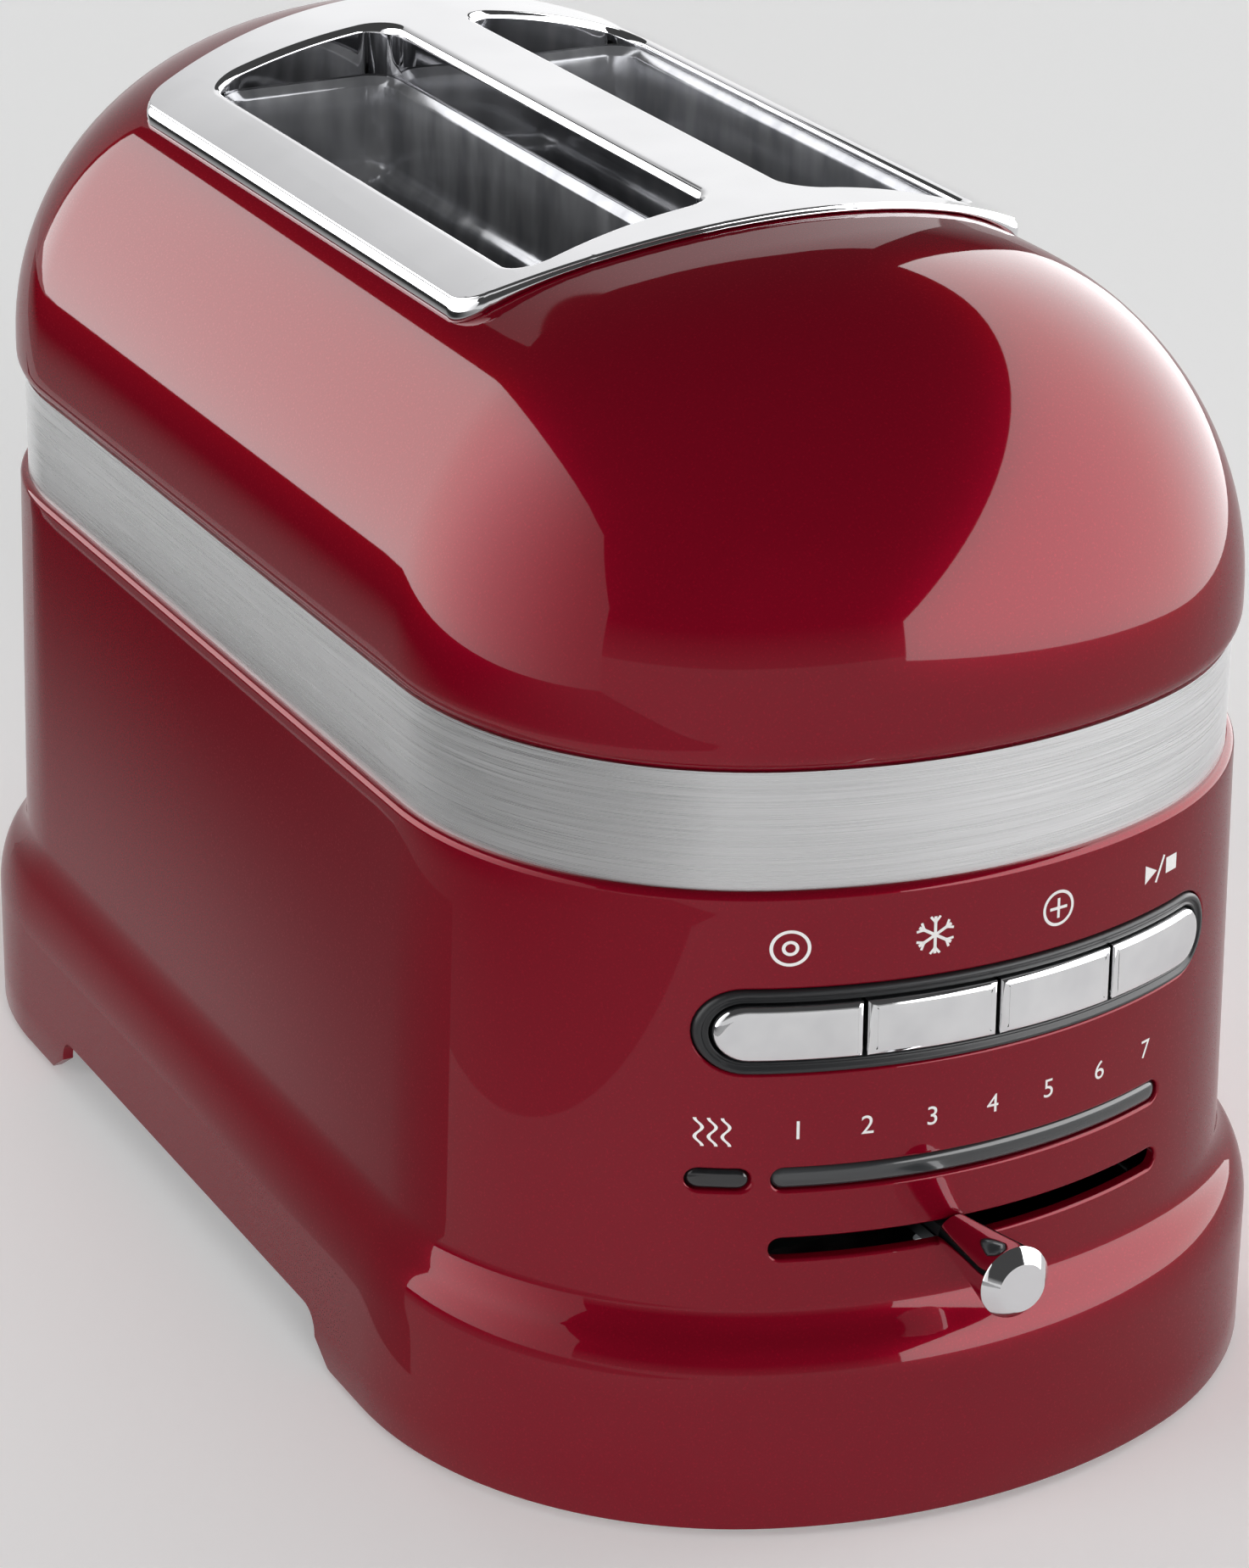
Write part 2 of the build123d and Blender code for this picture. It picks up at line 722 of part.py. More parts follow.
# Bread carriers, tied together in front of the chamber by a yoke on two rods
for side, side_name in ((-1, "left"), (1, "right")):
    with BuildPart() as bread_carrier:
        with BuildSketch(Plane.XY.offset(carrier_height - carrier_sheet)):
            with Locations((side * slot_x, chamber_y)):
                Rectangle(2 * carrier_half_width, chamber_length - 2 * tray_margin)
                with GridLocations(0, wire_pitch, 1, guide_wires):
                    SlotOverall(1.5 * carrier_half_width, carrier_half_width / 2, mode=Mode.SUBTRACT)
        extrude(amount=carrier_sheet)
        with BuildSketch(Plane.XZ.offset(-chamber_back - sheet - carrier_rib)):
            with Locations((side * slot_x, carrier_height - carrier_sheet)):
                Rectangle(carrier_sheet, carrier_rib, align=(Align.CENTER, Align.MAX))
        extrude(amount=chamber_length + 2 * sheet + 2 * carrier_rib)
        for tab_y, tab_end in (
            (yoke_back, chamber_front + tray_margin),
            (chamber_back - tray_margin, chamber_back + tab_reach),
        ):
            with BuildSketch(Plane.XZ.offset(-tab_end)):
                with Locations((side * slot_x, carrier_height)):
                    Rectangle(tab_width, tab_height)
            extrude(amount=tab_end - tab_y)
    write(bread_carrier.part, f"{side_name}_bread_carrier")

yoke_bottom = carrier_height - yoke_height / 2
with BuildPart() as lift_yoke:
    with BuildSketch(Plane.XY.offset(yoke_bottom)):
        with Locations((0, yoke_back)):
            Rectangle(2 * yoke_half_width, yoke_sheet, align=(Align.CENTER, Align.MAX))
        with Locations((-rod_x, rod_y), (rod_x, rod_y)):
            Circle(bush_radius)
            Rectangle(2 * bush_radius, bush_radius, align=(Align.CENTER, Align.MIN))
        with Locations((-rod_x, rod_y), (rod_x, rod_y)):
            Circle(rod_radius + shaft_gap, mode=Mode.SUBTRACT)
    extrude(amount=yoke_height)
write(lift_yoke.part, "lift_yoke")

tooth_pitch = pi * gear_module
rack_teeth = round(lift_travel / tooth_pitch) + spare_teeth
rack_low = pinion_height - 2 * tooth_pitch
rack_high = rack_low + rack_teeth * tooth_pitch
tooth_half = tooth_pitch / 4 - gear_backlash / 4
tip_half = tooth_half - gear_addendum * tan(pressure_angle)
root_half = tooth_half + gear_dedendum * tan(pressure_angle)
with BuildPart() as lift_rack:
    with BuildSketch(Plane.XZ.offset(-gear_back)):
        with Locations((gear_dedendum, rack_low)):
            Rectangle(rack_back, rack_teeth * tooth_pitch, align=(Align.MIN, Align.MIN))
        for tooth in range(rack_teeth):
            level = rack_low + (tooth + 0.5) * tooth_pitch
            Polygon(
                (gear_dedendum, level - root_half),
                (gear_dedendum, level + root_half),
                (-gear_addendum, level + tip_half),
                (-gear_addendum, level - tip_half),
                align=None,
            )
    extrude(amount=gear_face)
    with BuildSketch(Plane.XY.offset(yoke_bottom)):
        with Locations((gear_dedendum, gear_back)):
            Rectangle(rack_back, gear_setback, align=(Align.MIN, Align.MIN))
    extrude(amount=yoke_height)
write(lift_rack.part, "lift_rack")


def tooth_turn(radius):
    """Half of a pinion tooth's width at a radius, as an angle, on an involute flank."""
    base = gear_radius * cos(pressure_angle)
    lean = acos(min(1, base / radius))
    at_pitch = (tooth_pitch / 2 - gear_backlash / 2) / (2 * gear_radius)
    return at_pitch + tan(pressure_angle) - pressure_angle - tan(lean) + lean


tooth_depth = gear_addendum + gear_dedendum
tooth_root = gear_radius - gear_dedendum
flank = [tooth_root + step * tooth_depth / flank_steps for step in range(flank_steps + 1)]
with BuildPart() as drive_pinion:
    with BuildSketch(Plane.XZ.offset(-gear_back)):
        with BuildLine():
            points = []
            for tooth in range(gear_teeth):
                middle = 2 * pi * tooth / gear_teeth
                rising = [(radius, middle - tooth_turn(radius)) for radius in flank]
                falling = [(radius, middle + tooth_turn(radius)) for radius in reversed(flank)]
                for radius, turn in rising + falling:
                    points.append((pinion_x + radius * cos(turn), pinion_height + radius * sin(turn)))
            Polyline(*points, close=True)
        make_face()
    extrude(amount=gear_face)
    with BuildSketch(Plane.XZ.offset(-gear_back)):
        with Locations((pinion_x, pinion_height)):
            Circle(shaft_radius)
    extrude(amount=gear_face + shaft_length)
write(drive_pinion.part, "drive_pinion")

# Guide rods in four brackets on the front end frame
bracket_reach = front_frame_face - rod_y + rod_radius + bracket_margin / 2
with BuildPart() as rod_brackets:
    for level in (rod_bottom - bracket_sheet, rod_top - bracket_sheet):
        with BuildSketch(Plane.XY.offset(level)):
            with Locations((-rod_x, front_frame_face), (rod_x, front_frame_face)):
                Rectangle(2 * bracket_margin, bracket_reach, align=(Align.CENTER, Align.MAX))
            with Locations((-rod_x, rod_y), (rod_x, rod_y)):
                Circle(rod_radius + shaft_gap, mode=Mode.SUBTRACT)
        extrude(amount=bracket_sheet)
write(rod_brackets.part, "rod_brackets")

with BuildPart() as guide_rods:
    with BuildSketch(Plane.XY.offset(rod_bottom - bracket_sheet)):
        with Locations((-rod_x, rod_y), (rod_x, rod_y)):
            Circle(rod_radius)
    extrude(amount=rod_top - rod_bottom + bracket_sheet)
write(guide_rods.part, "guide_rods")

# Gearbox, motor and the bracket that stands them on the base plate
gearbox_front = gearbox_back - gearbox_depth
with BuildPart() as lift_gearbox:
    with BuildSketch(Plane.XZ.offset(-gearbox_back)):
        with Locations((pinion_x, pinion_height)):
            RectangleRounded(2 * gearbox_half_width, gearbox_height, shaft_radius)
            Circle(shaft_radius + shaft_gap, mode=Mode.SUBTRACT)
    extrude(amount=gearbox_depth)
write(lift_gearbox.part, "lift_gearbox")

motor_top = pinion_height - gearbox_height / 2
motor_y = gearbox_front + gearbox_depth / 2
with BuildPart() as lift_motor:
    with BuildSketch(Plane.XY.offset(motor_top)):
        with Locations((pinion_x, motor_y)):
            Circle(gearbox_depth / 2 - seat_gap)
    extrude(amount=-motor_neck)
    with BuildSketch(Plane.XY.offset(motor_top - motor_neck)):
        with Locations((pinion_x, motor_y)):
            Circle(motor_radius)
    extrude(amount=-motor_length)
write(lift_motor.part, "lift_motor")

with BuildPart() as motor_bracket:
    with BuildSketch(Plane.XZ.offset(-gearbox_front)):
        with Locations((pinion_x, plate_top)):
            Rectangle(2 * gearbox_half_width, motor_top + gearbox_height - plate_top,
                      align=(Align.CENTER, Align.MIN))
        with Locations((pinion_x, motor_top - motor_neck / 2)):
            Rectangle(2 * motor_radius + 2 * slide_gap, motor_length + 2 * motor_neck,
                      align=(Align.CENTER, Align.MAX), mode=Mode.SUBTRACT)
    extrude(amount=sheet)
    with BuildSketch(Plane.XY.offset(plate_top)):
        with Locations((pinion_x, gearbox_front)):
            Rectangle(2 * gearbox_half_width, frame_foot, align=(Align.CENTER, Align.MIN))
    extrude(amount=sheet)
write(motor_bracket.part, "motor_bracket")

# Dark surround of the button row: a round-ended tube from the face back to the switch board
button_opening = surround_height - 2 * surround_ridge
button_row = surround_length - 2 * surround_ridge
with BuildPart() as button_surround:
    extrude(front_oblong(0, button_height, surround_length, surround_height), amount=front_depth)
    loft(drafted(surround_proud, 0, rim_height), ruled=True, mode=Mode.INTERSECT)
    row_face = front_oblong(0, button_height, button_row, button_opening)
    extrude(row_face, amount=front_depth, mode=Mode.SUBTRACT)
    extrude(plan(-surround_depth, 0), amount=rim_height, mode=Mode.SUBTRACT)
write(button_surround.part, "button_surround")

# Chrome buttons, each sliding square to the face, with a stem towards its switch
button_names = ("one_side_button", "frozen_button", "longer_button", "start_button")
button_middles = [(place - 1.5) * button_joint for place in range(len(button_names))]
cap_length = button_row - 2 * slide_gap
cap_height = button_opening - 2 * slide_gap
joint_turns = [asin((place - 2) * button_joint / end_arc_radius) for place in (1, 2, 3)]
button_sides = [-button_row_turn] + joint_turns + [button_row_turn]
for place, button_name in enumerate(button_names):
    inward = front_normal(button_middles[place])
    corners = []
    for side_turn, lean in ((button_sides[place], 1), (button_sides[place + 1], -1)):
        across = Vector(cos(side_turn), sin(side_turn)) * lean * button_gap / 2
        along = Vector(sin(side_turn), -cos(side_turn)) * end_arc_radius
        centre = Vector(0, end_arc_radius - body_half_length)
        corners.append([centre + across + along / 2, centre + across + along * 2])
    with BuildPart() as button:
        extrude(front_oblong(0, button_height, cap_length, cap_height), amount=front_depth)
        loft(drafted(button_proud, 0, rim_height), ruled=True, mode=Mode.INTERSECT)
        extrude(plan(-button_depth, 0), amount=rim_height, mode=Mode.SUBTRACT)
        with BuildSketch():
            with BuildLine():
                Polyline(corners[0][0], corners[0][1], corners[1][1], corners[1][0], close=True)
            make_face()
        extrude(amount=rim_height, mode=Mode.INTERSECT)
        stem_foot = Vector(button_middles[place], front_y(button_middles[place], 0), button_height)
        stem_plane = Plane(stem_foot + inward * (button_depth - button_edge), x_dir=(0, 0, 1), z_dir=inward)
        with BuildSketch(stem_plane):
            Circle(button_stem_radius)
        extrude(amount=button_stem + button_edge)
    write(button.part, button_name)

# Curved switch board behind the buttons, with one switch on each button's line
with BuildPart() as switch_board:
    with BuildSketch(Plane.XZ.offset(front_reach - surround_depth)):
        with Locations((0, button_height)):
            Rectangle(surround_length + 2 * switch_board_margin, surround_height + 2 * switch_board_margin)
    extrude(amount=front_depth)
    extrude(plan(-surround_depth - seat_gap, 0), amount=rim_height, mode=Mode.INTERSECT)
    extrude(plan(-surround_depth - seat_gap - switch_board_sheet, 0), amount=rim_height, mode=Mode.SUBTRACT)
write(switch_board.part, "switch_board")

switch_top = button_depth + button_stem + button_travel + slide_gap
with BuildPart() as button_switches:
    for middle in button_middles:
        inward = front_normal(middle)
        foot = Vector(middle, front_y(middle, 0), button_height) + inward * switch_top
        with BuildSketch(Plane(foot, x_dir=(0, 0, 1), z_dir=inward)):
            Rectangle(switch_size, switch_size)
        extrude(amount=surround_depth - switch_top + switch_board_sheet)
    extrude(plan(-surround_depth - seat_gap, 0), amount=rim_height, mode=Mode.SUBTRACT)
write(button_switches.part, "button_switches")

# Smoked lenses of the browning scale and of the keep-warm light
for lens_name, lens_x, length in (
    ("indicator_lens", 0, lens_length),
    ("keep_warm_lens", warm_lens_x, warm_lens_length),
):
    with BuildPart() as lens:
        extrude(front_oblong(lens_x, lens_height, length, lens_width), amount=front_depth)
        loft(drafted(-lens_recess, 0, rim_height), ruled=True, mode=Mode.INTERSECT)
        loft(drafted(-lens_depth, 0, rim_height), ruled=True, mode=Mode.SUBTRACT)
    write(lens.part, lens_name)

# Control board on four bosses of the housing, with the lights and the slide control on it
with BuildPart() as control_board:
    with BuildSketch(Plane.XZ.offset(control_board_front)):
        with Locations((0, control_board_bottom)):
            Rectangle(2 * control_board_half_width, control_board_top - control_board_bottom,
                      align=(Align.CENTER, Align.MIN))
        with Locations(board_boss_places):
            Circle(board_screw_radius + shaft_gap, mode=Mode.SUBTRACT)
    extrude(amount=-board_sheet)
write(control_board.part, "control_board")

with BuildPart() as board_screws:
    with BuildSketch(Plane.XZ.offset(control_board_front - board_sheet)):
        with Locations(board_boss_places):
            Circle(2 * board_screw_radius)
    extrude(amount=-board_sheet)
    with BuildSketch(Plane.XZ.offset(control_board_front - board_sheet)):
        with Locations(board_boss_places):
            Circle(board_screw_radius)
    extrude(amount=board_sheet + board_screw_length - board_screw_gap)
write(board_screws.part, "board_screws")

light_row = [(place - (light_count - 1) / 2) * light_pitch for place in range(light_count)]
with BuildPart() as indicator_lights:
    for x in light_row + [warm_lens_x]:
        lens_back = front_y(abs(x) + light_radius, wall_spread(lens_height) - lens_depth) + seat_gap
        with BuildSketch(Plane.XZ.offset(control_board_front)):
            with Locations((x, lens_height)):
                Circle(light_radius)
        extrude(amount=-lens_back - control_board_front)
write(indicator_lights.part, "indicator_lights")

slide_control_front = control_board_front + slide_control_depth
with BuildPart() as slide_control:
    with BuildSketch(Plane.XZ.offset(control_board_front)):
        with Locations((0, slider_height)):
            Rectangle(2 * slide_control_half_length, slide_control_height)
    extrude(amount=slide_control_depth)
    with BuildSketch(Plane.XZ.offset(slide_control_front)):
        with Locations((0, slider_height)):
            Rectangle(slider_slot_length, stem_thickness + 2 * slide_gap)
    extrude(amount=-stem_entry - slide_gap, mode=Mode.SUBTRACT)
write(slide_control.part, "slide_control")

# Flared shade knob on a flat stem that reaches into the slide control
knob_root = -front_y(0, wall_spread(slider_height)) + knob_standoff
with BuildPart() as shade_knob:
    with BuildSketch(Plane.XY.offset(slider_height)):
        with BuildLine():
            Polyline(
                (knob_x, -knob_root),
                (knob_x + knob_root_radius, -knob_root),
                (knob_x + knob_tip_radius, -knob_root - knob_length + knob_bevel),
                (knob_x + knob_flat_radius, -knob_root - knob_length),
                (knob_x, -knob_root - knob_length),
                close=True,
            )
        make_face()
    revolve(axis=Axis((knob_x, 0, slider_height), (0, 1, 0)))
write(shade_knob.part, "shade_knob")

with BuildPart() as slider_stem:
    with BuildSketch(Plane.XZ.offset(slide_control_front - stem_entry)):
        with Locations((knob_x, slider_height)):
            Rectangle(stem_width, stem_thickness)
    extrude(amount=knob_root - slide_control_front + stem_entry)
write(slider_stem.part, "slider_stem")

# Rear electrics on standoffs behind the chamber
power_y = chamber_back + sheet + standoff_length
standoff_places = [
    (side * (power_board_half_width - standoff_inset), level)
    for side in (-1, 1)
    for level in (power_board_bottom + standoff_inset, power_board_top - standoff_inset)
]
with BuildPart() as board_standoffs:
    with BuildSketch(Plane.XZ.offset(-chamber_back - sheet)):
        with Locations(standoff_places):
            Circle(standoff_radius)
    extrude(amount=-standoff_length)
write(board_standoffs.part, "board_standoffs")

with BuildPart() as power_board:
    with BuildSketch(Plane.XZ.offset(-power_y)):
        with Locations((0, power_board_bottom)):
            Rectangle(2 * power_board_half_width, power_board_top - power_board_bottom,
                      align=(Align.CENTER, Align.MIN))
    extrude(amount=-board_sheet)
write(power_board.part, "power_board")

part_y = power_y + board_sheet
part_x = power_board_half_width / 2
part_z = power_board_top - transformer_height
for part_name, x, width, height, depth in (
    ("power_relay", -part_x, relay_width, relay_height, relay_depth),
    ("transformer", part_x, transformer_width, transformer_height, transformer_depth),
):
    with BuildPart() as block:
        with BuildSketch(Plane.XZ.offset(-part_y)):
            with Locations((x, part_z)):
                Rectangle(width, height)
        extrude(amount=-depth)
        fillet(block.edges().filter_by(Axis.Y), board_sheet)
    write(block.part, part_name)

# Gland where the cord enters through the back wall
gland_y = -front_y(0, wall_spread(gland_height))
gland_inner = gland_y - cast_wall - 2 * seat_gap
with BuildPart() as cord_gland:
    with BuildSketch(Plane.XY.offset(gland_height)):
        with BuildLine():
            Polyline(
                (gland_bore_radius, gland_y + seat_gap + gland_flange),
                (gland_flange_radius, gland_y + seat_gap + gland_flange),
                (gland_flange_radius, gland_y + seat_gap),
                (gland_body_radius, gland_y + seat_gap),
                (gland_body_radius, gland_inner),
                (gland_flange_radius, gland_inner),
                (gland_flange_radius, gland_inner - gland_nut),
                (gland_bore_radius, gland_inner - gland_nut),
                close=True,
            )
        make_face()
    revolve(axis=Axis((0, 0, gland_height), (0, 1, 0)))
write(cord_gland.part, "cord_gland")
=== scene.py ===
"""Red two-slot toaster with a domed top, dressed piece by piece on its CAD frame."""

from math import asin, atan2, cos, pi, radians, sin, sqrt

import bmesh
import bpy
from mathutils import Matrix, Vector


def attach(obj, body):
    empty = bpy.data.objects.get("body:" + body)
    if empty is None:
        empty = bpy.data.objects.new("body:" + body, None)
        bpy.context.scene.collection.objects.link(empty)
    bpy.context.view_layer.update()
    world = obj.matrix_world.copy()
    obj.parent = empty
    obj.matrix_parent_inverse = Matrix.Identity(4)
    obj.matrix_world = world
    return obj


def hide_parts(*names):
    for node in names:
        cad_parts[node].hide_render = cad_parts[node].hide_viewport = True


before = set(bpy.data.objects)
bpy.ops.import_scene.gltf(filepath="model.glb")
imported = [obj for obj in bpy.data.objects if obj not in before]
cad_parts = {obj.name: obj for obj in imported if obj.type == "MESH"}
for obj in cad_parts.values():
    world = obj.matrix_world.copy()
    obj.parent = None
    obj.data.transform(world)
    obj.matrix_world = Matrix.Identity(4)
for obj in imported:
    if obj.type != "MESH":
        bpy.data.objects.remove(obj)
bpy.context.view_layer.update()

# Lower housing: one zinc casting with a flared skirt, enamelled in translucent candy red over
# a metallic ground coat. It stands on rubber feet and carries everything else.
# Sizes are in millimetres, as in the CAD source.
HALF_WIDTH = 87.4
HALF_LENGTH = 165.9
END_RADIUS = 112.8
CORNER_RADIUS = 72.6
END_STEPS = 12
CORNER_STEPS = 28
SIDE_STEPS = 12
RIM = 130.4
RIM_ROUND = 1.5
WALL_DRAFT = 2.4
WALL_LEVELS = range(52, 128, 4)
CAST_WALL = 2.4
INNER_LEVEL = 60.0
FLANGE = 9.0
FLANGE_THICKNESS = 3.0
SKIRT = 8.15
SKIRT_TOP = 29.0
SKIRT_LEVELS = (10, 18, 26)
SKIRT_EDGE = 0.8
SKIRT_BEVEL = 0.24
FLOOR_GAP = 1.5
SHOULDER_RISE = 13.0
SHOULDER_FOOT = 1.23
SHOULDER_TURNS = range(0, 61, 6)
CREASE_BEND = 43.7
CREASE_TOP = 47.5
CREASE_STEPS = 8
EDGE_TURNS = range(0, 91, 15)
HOLE_ROUND = 0.7
OBLONG_STEPS = 20
BUTTON_HEIGHT = 103.0
LENS_HEIGHT = 72.7
WARM_X = -51.2
SLIDER_HEIGHT = 58.2


def linear(code):
    """Linear colour of an sRGB hex code."""
    channels = [int(code[at : at + 2], 16) / 255 for at in (1, 3, 5)]
    return [c / 12.92 if c <= 0.04045 else ((c + 0.055) / 1.055) ** 2.4 for c in channels] + [1.0]


def add_node(tree, kind, inputs=None, **settings):
    """Adds a shader node, and sets or links its inputs."""
    node = tree.nodes.new(kind)
    for name, value in settings.items():
        setattr(node, name, value)
    for name, value in (inputs or {}).items():
        if isinstance(value, bpy.types.NodeSocket):
            tree.links.new(value, node.inputs[name])
        else:
            node.inputs[name].default_value = value
    return node


def noise(tree, grain, stretch=(1, 1, 1), detail=2.0):
    """Noise with grains of that many millimetres, drawn out along the axes by stretch."""
    place = add_node(tree, "ShaderNodeTexCoord").outputs["Object"]
    shares = [1 / way for way in stretch]
    drawn = add_node(tree, "ShaderNodeMapping", {"Vector": place, "Scale": shares}).outputs["Vector"]
    settings = {"Vector": drawn, "Scale": 1000 / grain, "Detail": detail}
    return add_node(tree, "ShaderNodeTexNoise", settings).outputs["Fac"]


def spread(tree, value, low, high):
    """Stretches the middle of a noise to run from low to high."""
    settings = {"Value": value, "From Min": 0.3, "From Max": 0.7, "To Min": low, "To Max": high}
    return add_node(tree, "ShaderNodeMapRange", settings).outputs["Result"]


def mix(tree, share, low, high):
    """Colour between two hex codes."""
    settings = {0: share, 6: linear(low), 7: linear(high)}
    return add_node(tree, "ShaderNodeMix", settings, data_type="RGBA").outputs[2]


def finish(name, low, high, grain, rough, bump=0.0, stretch=(1, 1, 1), **sockets):
    """Material whose colour, roughness and relief vary with a grain of that many millimetres."""
    material = bpy.data.materials.new(name)
    material.use_nodes = True
    tree = material.node_tree
    shader = tree.nodes["Principled BSDF"]
    grains = noise(tree, grain, stretch)
    tree.links.new(mix(tree, spread(tree, grains, 0, 1), low, high), shader.inputs["Base Color"])
    tree.links.new(spread(tree, grains, *rough), shader.inputs["Roughness"])
    if bump:
        relief = {"Height": grains, "Strength": 1.0, "Distance": bump / 1000}
        tree.links.new(add_node(tree, "ShaderNodeBump", relief).outputs["Normal"], shader.inputs["Normal"])
    for socket, value in sockets.items():
        shader.inputs[socket.replace("_", " ")].default_value = value
    return material


def plan_points(half_width, half_length, end_radius, corner_radius):
    """Outline with straight sides, bowed ends and round corners, from the middle of its back."""
    corner_x = half_width - corner_radius
    end_y = half_length - end_radius
    reach = sqrt((end_radius - corner_radius) ** 2 - corner_x**2)
    lean = atan2(corner_x, reach)
    corner_y = end_y + reach
    quarter = []
    for step in range(END_STEPS):
        turn = lean * step / END_STEPS
        quarter.append((end_radius * sin(turn), end_y + end_radius * cos(turn)))
    for step in range(CORNER_STEPS):
        turn = lean + (pi / 2 - lean) * step / CORNER_STEPS
        quarter.append((corner_x + corner_radius * sin(turn), corner_y + corner_radius * cos(turn)))
    quarter += [(half_width, corner_y * (1 - step / SIDE_STEPS)) for step in range(SIDE_STEPS)]
    right_front = [(x, -y) for x, y in reversed(quarter[1:])]
    half = quarter + [(half_width, 0)] + right_front
    return half + [(0, -half_length)] + [(-x, y) for x, y in reversed(half[1:])]


def plan_ring(grow, height):
    """The body's plan, moved outwards by grow, at a height."""
    sizes = [size + grow for size in (HALF_WIDTH, HALF_LENGTH, END_RADIUS, CORNER_RADIUS)]
    return [(x, y, height) for x, y in plan_points(*sizes)]


def wall_spread(height):
    """How far the drafted wall stands outside the rim's plan."""
    return WALL_DRAFT * (1 - height / RIM)


def front_point(x, z, out):
    """Point of the control face at x and height z, moved forwards by out."""
    grow = wall_spread(z) + out
    corner_x = HALF_WIDTH - CORNER_RADIUS
    step = END_RADIUS - CORNER_RADIUS
    if abs(x) * step <= corner_x * (END_RADIUS + grow):
        return (x, END_RADIUS - HALF_LENGTH - sqrt((END_RADIUS + grow) ** 2 - x**2), z)
    corner_y = HALF_LENGTH - END_RADIUS + sqrt(step**2 - corner_x**2)
    return (x, -corner_y - sqrt((CORNER_RADIUS + grow) ** 2 - (abs(x) - corner_x) ** 2), z)


def oblong(x, z, length, width):
    """Round-ended outline on the control face, as (x, z) points."""
    radius = width / 2
    reach = length / 2 - radius
    points = []
    for side in (1, -1):
        for step in range(OBLONG_STEPS):
            turn = side * pi / 2 - pi * step / OBLONG_STEPS
            points.append((x + side * reach + radius * cos(turn), z + radius * sin(turn)))
        for step in range(2 * OBLONG_STEPS):
            points.append((x + side * reach * (1 - step / OBLONG_STEPS), z - side * radius))
    return points


def inset(points, depth):
    """Closed outline moved inwards by depth, or outwards where it is negative."""
    moved = []
    area = sum(a[0] * b[1] - b[0] * a[1] for a, b in zip(points, points[1:] + points[:1]))
    turn = 1 if area > 0 else -1
    for before, here, after in zip(points[-1:] + points[:-1], points, points[1:] + points[:1]):
        first = (Vector(here) - Vector(before)).normalized()
        second = (Vector(after) - Vector(here)).normalized()
        left = Vector((-first.y, first.x)) + Vector((-second.y, second.x))
        moved.append(tuple(Vector(here) + left * (turn * depth / (1 + first.dot(second)))))
    return moved


def add_loop(bm, points):
    """Adds a closed loop of edges."""
    verts = [bm.verts.new(point) for point in points]
    return [bm.edges.new(pair) for pair in zip(verts, verts[1:] + verts[:1])]


def bridge(bm, rings, closed=False):
    """Skins a row of rings that have the same number of points."""
    loops = [add_loop(bm, ring) for ring in rings]
    for near, far in zip(loops, loops[1:]):
        bmesh.ops.bridge_loops(bm, edges=near + far)
    if closed:
        bmesh.ops.bridge_loops(bm, edges=loops[-1] + loops[0])
    return loops


def prism(outline, to_point, low, high):
    """Closed solid between two depths of an outline."""
    bm = bmesh.new()
    loops = bridge(bm, [[to_point(*point, depth) for point in outline] for depth in (low, high)])
    for loop in loops:
        bmesh.ops.contextual_create(bm, geom=loop)
    return bm


def cut(bm, *tools):
    """Cuts the tools' solids out of a closed shell."""
    things = []
    for solid in (bm, *tools):
        bmesh.ops.recalc_face_normals(solid, faces=solid.faces)
        mesh = bpy.data.meshes.new("work")
        solid.to_mesh(mesh)
        solid.free()
        things.append(bpy.data.objects.new("work", mesh))
        bpy.context.collection.objects.link(things[-1])
    for tool in things[1:]:
        step = things[0].modifiers.new("cut", "BOOLEAN")
        step.object = tool
        step.solver = "EXACT"
    shell = bmesh.new()
    shell.from_object(things[0], bpy.context.evaluated_depsgraph_get())
    for thing in things:
        bpy.data.meshes.remove(thing.data)
    return shell


def piece(name, bm, material, body, slot, *replaced, sharp=35, outward=True):
    """Turns a bmesh in millimetres into a piece that rides on a body."""
    if outward:
        bmesh.ops.recalc_face_normals(bm, faces=bm.faces)
    bmesh.ops.scale(bm, vec=(0.001, 0.001, 0.001), verts=bm.verts)
    mesh = bpy.data.meshes.new(name)
    bm.to_mesh(mesh)
    bm.free()
    mesh.materials.append(material)
    mesh.shade_smooth()
    mesh.set_sharp_from_angle(angle=radians(sharp))
    thing = bpy.data.objects.new(name, mesh)
    bpy.context.collection.objects.link(thing)
    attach(thing, body)
    if replaced:
        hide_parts(*replaced)
    return thing


# Candy enamel is tinted lacquer over metal flake with a clear coat on top, which gives the eye
# a deep red under a crisp, pale mirror. The flake is drawn at 0.4 mm, coarser than the real one.
enamel = finish(
    "candy_red_enamel",
    "#78021a",
    "#7f031c",
    0.4,
    (0.24, 0.28),
    Metallic=0.25,
    Specular_IOR_Level=0.0,
    Specular_Tint=linear("#7a1018"),
    Coat_Weight=0.62,
    Coat_Roughness=0.03,
)

